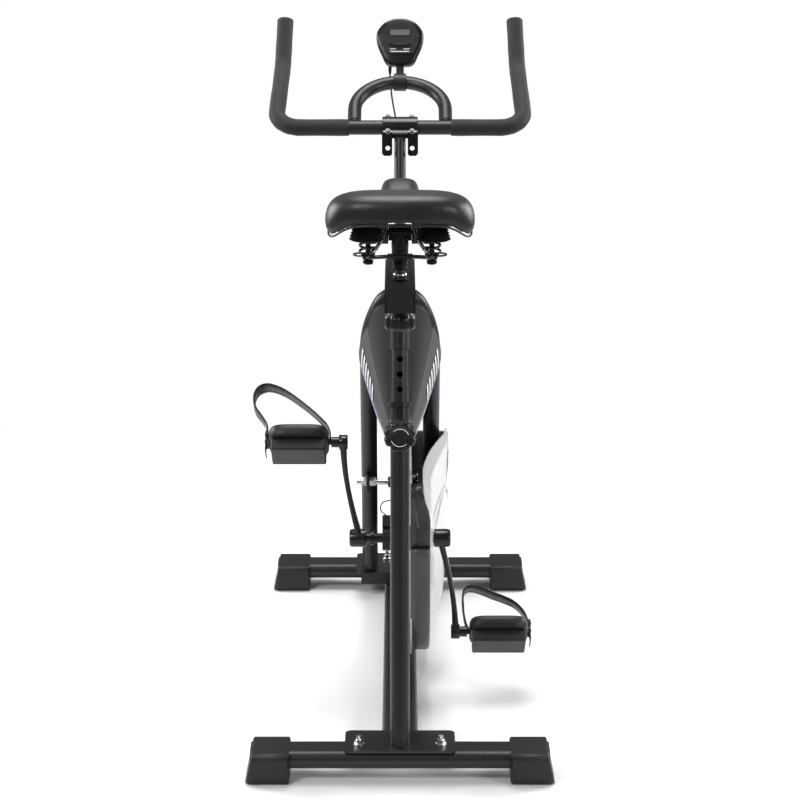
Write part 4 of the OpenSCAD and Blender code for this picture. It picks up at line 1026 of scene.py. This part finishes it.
def fork_tube():
    """The fork as one smooth sweep: leg, arch in three arcs, leg."""
    half, radius = 0.057, 0.015
    base = Vector((0, 0.370, 0.054))
    crown_l = (0.645 - base.z) / math.cos(math.radians(FORK_RAKE))
    arch_h, top_r = 0.119, 0.038
    side_r = ((arch_h - top_r) ** 2 + half ** 2 - top_r ** 2) / (2 * (half - top_r))
    side_a = math.degrees(math.atan((arch_h - top_r) / (side_r - half)))
    spring = crown_l - arch_h
    points = [Vector((half, 0, spring * s)) for s in (0.0, 0.2, 0.4, 0.6, 0.8)]
    points += arc((half - side_r, spring), side_r, 0, side_a, 14, "XZ")
    points += arc((0, spring + arch_h - top_r), top_r, side_a, 180 - side_a, 26, "XZ")[1:]
    points += arc((side_r - half, spring), side_r, 180 - side_a, 180, 14, "XZ")[1:]
    points += [Vector((-half, 0, spring * s)) for s in (0.8, 0.6, 0.4, 0.2, 0.0)]
    place = tilted(base, FORK_RAKE)
    tube("fork_tube", [place @ p for p in points], radius, POWDER, "frame", sides=40,
         replaces=["fork"], slot="fork_paint", angle=60)
    for sign, side in ((-1, "left"), (1, "right")):
        x = sign * 0.0595
        outline = [(AXLE.y - 0.0135, AXLE.z - 0.0155), (AXLE.y + 0.020, AXLE.z - 0.0155),
                   (AXLE.y + 0.010, AXLE.z + 0.0155), (AXLE.y - 0.0135, AXLE.z + 0.0155)]
        bevel(prism("dropout_" + side, outline, x - 0.003, x + 0.003, POWDER, "frame", place=SIDEWAYS,
                    slot="fork_paint"), 0.0015, 3)


def saddle_rail():
    """One wire from the nose down each side and across the back."""
    rail = [(0.009, -0.212, 0.8648), (0.014, -0.222, 0.864), (0.020, -0.236, 0.861), (0.022, -0.250, 0.859),
            (0.022, -0.280, 0.859), (0.023, -0.300, 0.857), (0.027, -0.325, 0.850), (0.034, -0.350, 0.842),
            (0.042, -0.372, 0.838), (0.048, -0.385, 0.837), (0.050, -0.398, 0.837), (0.044, -0.410, 0.838),
            (0.030, -0.416, 0.840), (0.014, -0.418, 0.841), (0.0, -0.418, 0.841)]
    whole = rail + [(-x, y, z) for x, y, z in rail[-2::-1]]
    tube("saddle_rail_wire", smooth_route(whole, 5), 0.0030, GLOSS_PAINT, "saddle", sides=16,
         replaces=["saddle_rails"], slot="crank_paint", angle=60)


def saddle_springs():
    """Coil, bolt and eyelet under each rear corner of the saddle."""
    for sign, side in ((-1, "left"), (1, "right")):
        spring_x, spring_y = 0.048, -0.392
        turns, steps, coil_r = 2, 28, 0.0125
        low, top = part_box("saddle_springs")
        coil = []
        for i in range(turns * steps + 1):
            a = 2 * math.pi * i / steps
            coil.append((sign * (spring_x + coil_r * math.cos(a)), spring_y + coil_r * math.sin(a),
                         low.z + 0.002 + (top.z - low.z - 0.008) * i / (turns * steps)))
        tube("saddle_spring_" + side, coil, 0.0020, GLOSS_PAINT, "saddle", sides=12,
             replaces=["saddle_springs"], slot="crank_paint", angle=60, round_end=0.001)
        x = sign * spring_x
        bolt = [(0.0, low.z - 0.018), (0.0065, low.z - 0.018), (0.0078, low.z - 0.0165),
                (0.0078, low.z - 0.0125), (0.0055, low.z - 0.0118), (0.0055, low.z - 0.0105),
                (0.0088, low.z - 0.0098), (0.0088, low.z - 0.0055), (0.0050, low.z - 0.0048),
                (0.0108, low.z - 0.0035), (0.0108, low.z - 0.0018), (0.0040, low.z - 0.0016),
                (0.0040, top.z - 0.006)]
        lathe("spring_bolt_" + side, bolt, GLOSS_PAINT, "saddle",
              Matrix.Translation((x, spring_y, 0)), sides=24, slot="crank_paint")
        eyelet = [Vector((x + sign * (0.0115 + 0.0105 * math.cos(a)), spring_y - 0.006 + 0.0105 * math.sin(a),
                          low.z - 0.0022)) for a in [2 * math.pi * k / 28 for k in range(28)]]
        tube("spring_eyelet_" + side, eyelet, 0.0014, GLOSS_PAINT, "saddle", sides=10, closed=True,
             slot="crank_paint")


def leads():
    """The monitor's lead with its boot, and the speed sensor's wire."""
    lead = [(-0.018, 0.356, 1.014), (-0.018, 0.357, 1.006), (-0.017, 0.355, 0.996), (-0.016, 0.348, 0.984),
            (-0.015, 0.330, 0.972), (-0.013, 0.308, 0.963), (-0.011, 0.286, 0.955), (-0.009, 0.266, 0.948),
            (-0.008, 0.252, 0.943), (-0.007, 0.244, 0.938), (-0.007, 0.240, 0.930)]
    tube("monitor_cable", smooth_route(lead, 5), 0.0015, RUBBER, "handlebar", sides=14,
         replaces=["monitor_lead"], slot="rubber", angle=60)
    boot = [Vector(lead[1]), Vector(lead[0]), Vector(lead[0]) + Vector((0, 0.003, 0.012))]
    tube("monitor_lead_boot", boot, [0.0021, 0.0030, 0.0030], RUBBER, "handlebar", sides=18, slot="rubber")
    sensor = [(-0.022, -0.100, 0.322), (-0.026, -0.100, 0.326), (-0.031, -0.100, 0.330),
              (-0.033, -0.100, 0.336), (-0.032, -0.100, 0.342), (-0.028, -0.100, 0.347),
              (-0.023, -0.100, 0.349), (-0.018, -0.100, 0.350), (-0.014, -0.100, 0.350)]
    tube("sensor_cable", smooth_route(sensor, 5), 0.0011, RUBBER, "frame", sides=12,
         replaces=["sensor_wire"], slot="rubber", angle=60)


def monitor():
    """Shield-shaped case with a raised face, a curved key and short pale dashes."""
    place = bar_place() @ Matrix.Translation((0, 0.130, 0)) @ Matrix.Rotation(
        math.radians(-BAR_RISE - MONITOR_TILT), 4, "X")
    half = ((0.0, 0.1178), (0.0144, 0.1160), (0.0270, 0.1103), (0.0360, 0.1012), (0.0410, 0.0920),
            (0.0424, 0.0830), (0.0408, 0.0720), (0.0368, 0.0600), (0.0318, 0.0490), (0.0275, 0.0390),
            (0.0222, 0.0325), (0.0150, 0.0302), (0.0, 0.0300))
    whole = [Vector((x, 0, z)) for x, z in half] + [Vector((-x, 0, z)) for x, z in half[-2:0:-1]]
    ring = smooth_route(whole, 4, closed=True)
    centre = Vector((0, 0, 0.076))
    rows = ((0.86, 0.0092), (0.95, 0.0085), (1.0, 0.0062), (1.0, -0.0030), (0.975, -0.0062), (0.93, -0.0082),
            (0.90, -0.0086))
    n = len(ring)
    verts = [centre.lerp(p, grow) + Vector((0, depth, 0)) for grow, depth in rows for p in ring]
    faces = grid_faces(len(rows), n)
    faces += [tuple(range(n))[::-1], tuple(range((len(rows) - 1) * n, len(rows) * n))]
    piece("monitor_shell", verts, faces, GLOSS_PAINT, "handlebar", replaces=["monitor_case"],
          slot="black_plastic", place=place, angle=40)

    plate = []
    for p in ring:
        q = centre.lerp(p, 0.84)
        plate.append((q.x * 0.93, max(0.050, q.z)))
    front = [Vector((x, -0.0108, z)) for x, z in plate]
    back = [Vector((x * 1.02, -0.0082, z)) for x, z in plate]
    window_low, window_high = Vector((-0.0172, 0, 0.0838)), Vector((0.0172, 0, 0.0952))
    face_ring = piece("monitor_face", front + back, grid_faces(2, n) + [tuple(range(n))[::-1]],
                      MOULDED, "handlebar", place=place, angle=40)
    bevel(face_ring, 0.0007, 2, 40)
    rounded_box("monitor_glass", (window_low.x, -0.0116, window_low.z),
                (window_high.x, -0.0100, window_high.z), 0.0004, LCD, "handlebar", place=place,
                replaces=["monitor_window"], slot="lcd")
    frame_route = [Vector((x, -0.0112, z)) for x, z in (
        (window_low.x, window_low.z), (window_high.x, window_low.z), (window_high.x, window_high.z),
        (window_low.x, window_high.z))]
    tube("monitor_glass_rim", [place @ p for p in frame_route], 0.0007, GLOSS_PAINT, "handlebar",
         sides=8, closed=True)
    key, steps = [], 20
    for depth in (-0.0100, -0.0125):
        for edge in (-1, 1):
            for i in range(steps + 1):
                s = -1 + 2 * i / steps
                key.append((0.0205 * s, depth, 0.0650 + 0.0045 * s * s + edge * 0.0026 * (1 - 0.5 * s * s)))
    m = steps + 1
    key_faces = []
    for i in range(steps):
        key_faces += [(i, i + 1, m + i + 1, m + i), (3 * m + i, 3 * m + i + 1, 2 * m + i + 1, 2 * m + i),
                      (2 * m + i, 2 * m + i + 1, i + 1, i), (m + i, m + i + 1, 3 * m + i + 1, 3 * m + i)]
    key_faces += [(0, m, 3 * m, 2 * m), (m - 1, 3 * m - 1, 4 * m - 1, 2 * m - 1)]
    bevel(piece("monitor_key", key, key_faces, GLOSS_PAINT, "monitor_button", replaces=["monitor_button"],
                slot="black_plastic", place=place, angle=40), 0.0005, 2, 40)
    dashes = []
    for x0, x1, z0, z1 in ((-0.0185, -0.0075, 0.0580, 0.0592), (0.0065, 0.0175, 0.0580, 0.0592),
                           (-0.0175, 0.0165, 0.0532, 0.0548)):
        dashes += [(x0, -0.0112, z0), (x1, -0.0112, z0), (x1, -0.0112, z1), (x0, -0.0112, z1)]
    piece("monitor_dashes", dashes, [tuple(range(4 * k, 4 * k + 4)) for k in range(3)], PRINT,
          "handlebar", place=place)


def clamp():
    """Two pressed halves round the bar, tipped towards the rider, with ears and four bolts."""
    place = tilted(BAR, CLAMP_TILT)
    half_w, outer, inner, reach = 0.031, 0.0188, 0.0129, 0.0285

    def half(sign):
        points = [(-reach, 0.0010), (-reach, 0.0052), (-0.0195, 0.0052)]
        points += [(outer * math.cos(math.radians(a)), outer * math.sin(math.radians(a)))
                   for a in range(160, 19, -7)]
        points += [(0.0195, 0.0052), (reach, 0.0052), (reach, 0.0010)]
        points += [(inner * math.cos(math.radians(a)), inner * math.sin(math.radians(a)))
                   for a in range(6, 175, 8)]
        return [(y, sign * z) for y, z in (points if sign > 0 else points[::-1])]

    for name, sign, node in (("saddle_half", 1, "clamp_upper"), ("cradle_half", -1, "clamp_lower")):
        bevel(prism("clamp_" + name, half(sign), -half_w, half_w, GLOSS_PAINT, "handlebar",
                    place=place @ SIDEWAYS, replaces=[node], slot="crank_paint"), 0.0009, 3, 40)
    head = [(0.0, 0.0105), (0.0040, 0.0105), (0.0048, 0.0098), (0.0048, 0.0068), (0.0075, 0.0066),
            (0.0075, 0.0054), (0.0030, 0.0052), (0.0030, -0.0110), (0.0, -0.0110)]
    for n, (x, y) in enumerate(((-0.021, -0.0235), (0.021, -0.0235), (-0.021, 0.0235), (0.021, 0.0235))):
        lathe(f"clamp_bolt_{n}", head, ZINC, "handlebar", place @ Matrix.Translation((x, y, 0)), sides=6,
              replaces=["clamp_bolts"], slot="zinc", angle=25)
    for sign, side in ((-1, "left"), (1, "right")):
        outline = [(0.0135, -0.004), (0.0315, -0.004), (0.0315, -0.039)]
        outline += [(0.0265 + 0.005 * math.cos(math.radians(a)), -0.040 + 0.005 * math.sin(math.radians(a)))
                    for a in range(-10, -91, -20)]
        outline += [(0.0165, -0.045), (0.0135, -0.042)]
        ear(side, sign, outline)


def ear(side, sign, outline):
    """Flat lug under the clamp: each point of its round hole joins the rim point in the same direction."""
    hole_x, hole_z, hole_r = 0.0213, -0.0315, 0.0042
    count = 24
    thick = 0.0028
    angles = [2 * math.pi * k / count for k in range(count)]
    hole = [(hole_x + hole_r * math.cos(a), hole_z + hole_r * math.sin(a)) for a in angles]
    rim = smooth_route([Vector((x, 0, z)) for x, z in outline], 1, closed=True)

    def rim_point(angle):
        return max(rim, key=lambda p: math.cos(math.atan2(p.z - hole_z, p.x - hole_x) - angle))

    ring = [rim_point(a) for a in angles]
    verts = []
    for depth in (-thick / 2, thick / 2):
        verts += [Vector((x, depth, z)) for x, z in hole]
        verts += [Vector((p.x, depth, p.z)) for p in ring]
    faces = []
    for k in range(count):
        n = (k + 1) % count
        faces += [(k, n, count + n, count + k),
                  (2 * count + n, 2 * count + k, 3 * count + k, 3 * count + n),
                  (n, k, 2 * count + k, 2 * count + n),
                  (count + k, count + n, 3 * count + n, 3 * count + k)]
    place = Matrix.Translation(BAR + Vector((0, -0.0285, 0))) @ Matrix.Diagonal((sign, 1, 1, 1))
    piece("clamp_ear_" + side, verts, faces, GLOSS_PAINT, "handlebar", place=place, slot="crank_paint",
          angle=30)


def slider_top():
    """Low dome-headed bolt on a long washer that covers the middle of the slider's slot."""
    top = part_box("slider_tube")[1].z
    bolt_y = middle("slider_bolt").y
    low_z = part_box("slider_bolt")[0].z
    rounded_box("slider_washer", (-0.0115, bolt_y - 0.036, top + 0.0002),
                (0.0115, bolt_y + 0.033, top + 0.0016), 0.0006, POWDER, "seat_post", slot="zinc")
    dome = [(0.0, top + 0.0062), (0.0040, top + 0.0060), (0.0078, top + 0.0050), (0.0102, top + 0.0034),
            (0.0108, top + 0.0018), (0.0040, top + 0.0017), (0.0040, low_z), (0.0, low_z)]
    lathe("slider_bolt_head", dome, ZINC, "seat_post", Matrix.Translation((0, bolt_y, 0)), sides=48,
          replaces=["slider_bolt"], slot="zinc", angle=30)


def flywheel():
    """Turned wheel: bright rim and a painted web with a stepped hub."""
    low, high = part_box("flywheel")
    radius = (high.z - low.z) / 2
    half = 0.015
    turn = Matrix.Translation(AXLE) @ Matrix.Rotation(math.radians(90), 4, "Y")
    rim = [(radius - 0.018, -half), (radius - 0.002, -half), (radius, -half + 0.002), (radius, half - 0.002),
           (radius - 0.002, half), (radius - 0.018, half)]
    lathe("flywheel_rim", rim, RIM, "flywheel", turn, sides=160, replaces=["flywheel"], slot="steel")
    web = [(0.0066, -0.0225), (0.0095, -0.0225), (0.0105, -0.0205), (0.0105, -0.012), (0.030, -0.008),
           (0.060, -0.0052),
           (radius - 0.036, -0.0048), (radius - 0.026, -0.008), (radius - 0.021, -half + 0.0006),
           (radius - 0.0178, -half + 0.0004), (radius - 0.0178, half - 0.0004),
           (radius - 0.021, half - 0.0006),
           (radius - 0.026, 0.008), (radius - 0.036, 0.0048), (0.060, 0.0052), (0.030, 0.008), (0.017, 0.012),
           (0.017, 0.029), (0.014, 0.031), (0.0066, 0.031), (0.0066, -0.0225)]
    lathe("flywheel_web", web, IRON, "flywheel", turn, sides=120, slot="wheel_iron")


cover()
belt_guard()
knobs()
end_caps()
cranks()
grips()
loop()
fork_tube()
saddle_rail()
saddle_springs()
leads()
monitor()
clamp()
slider_top()
flywheel()
saddle()
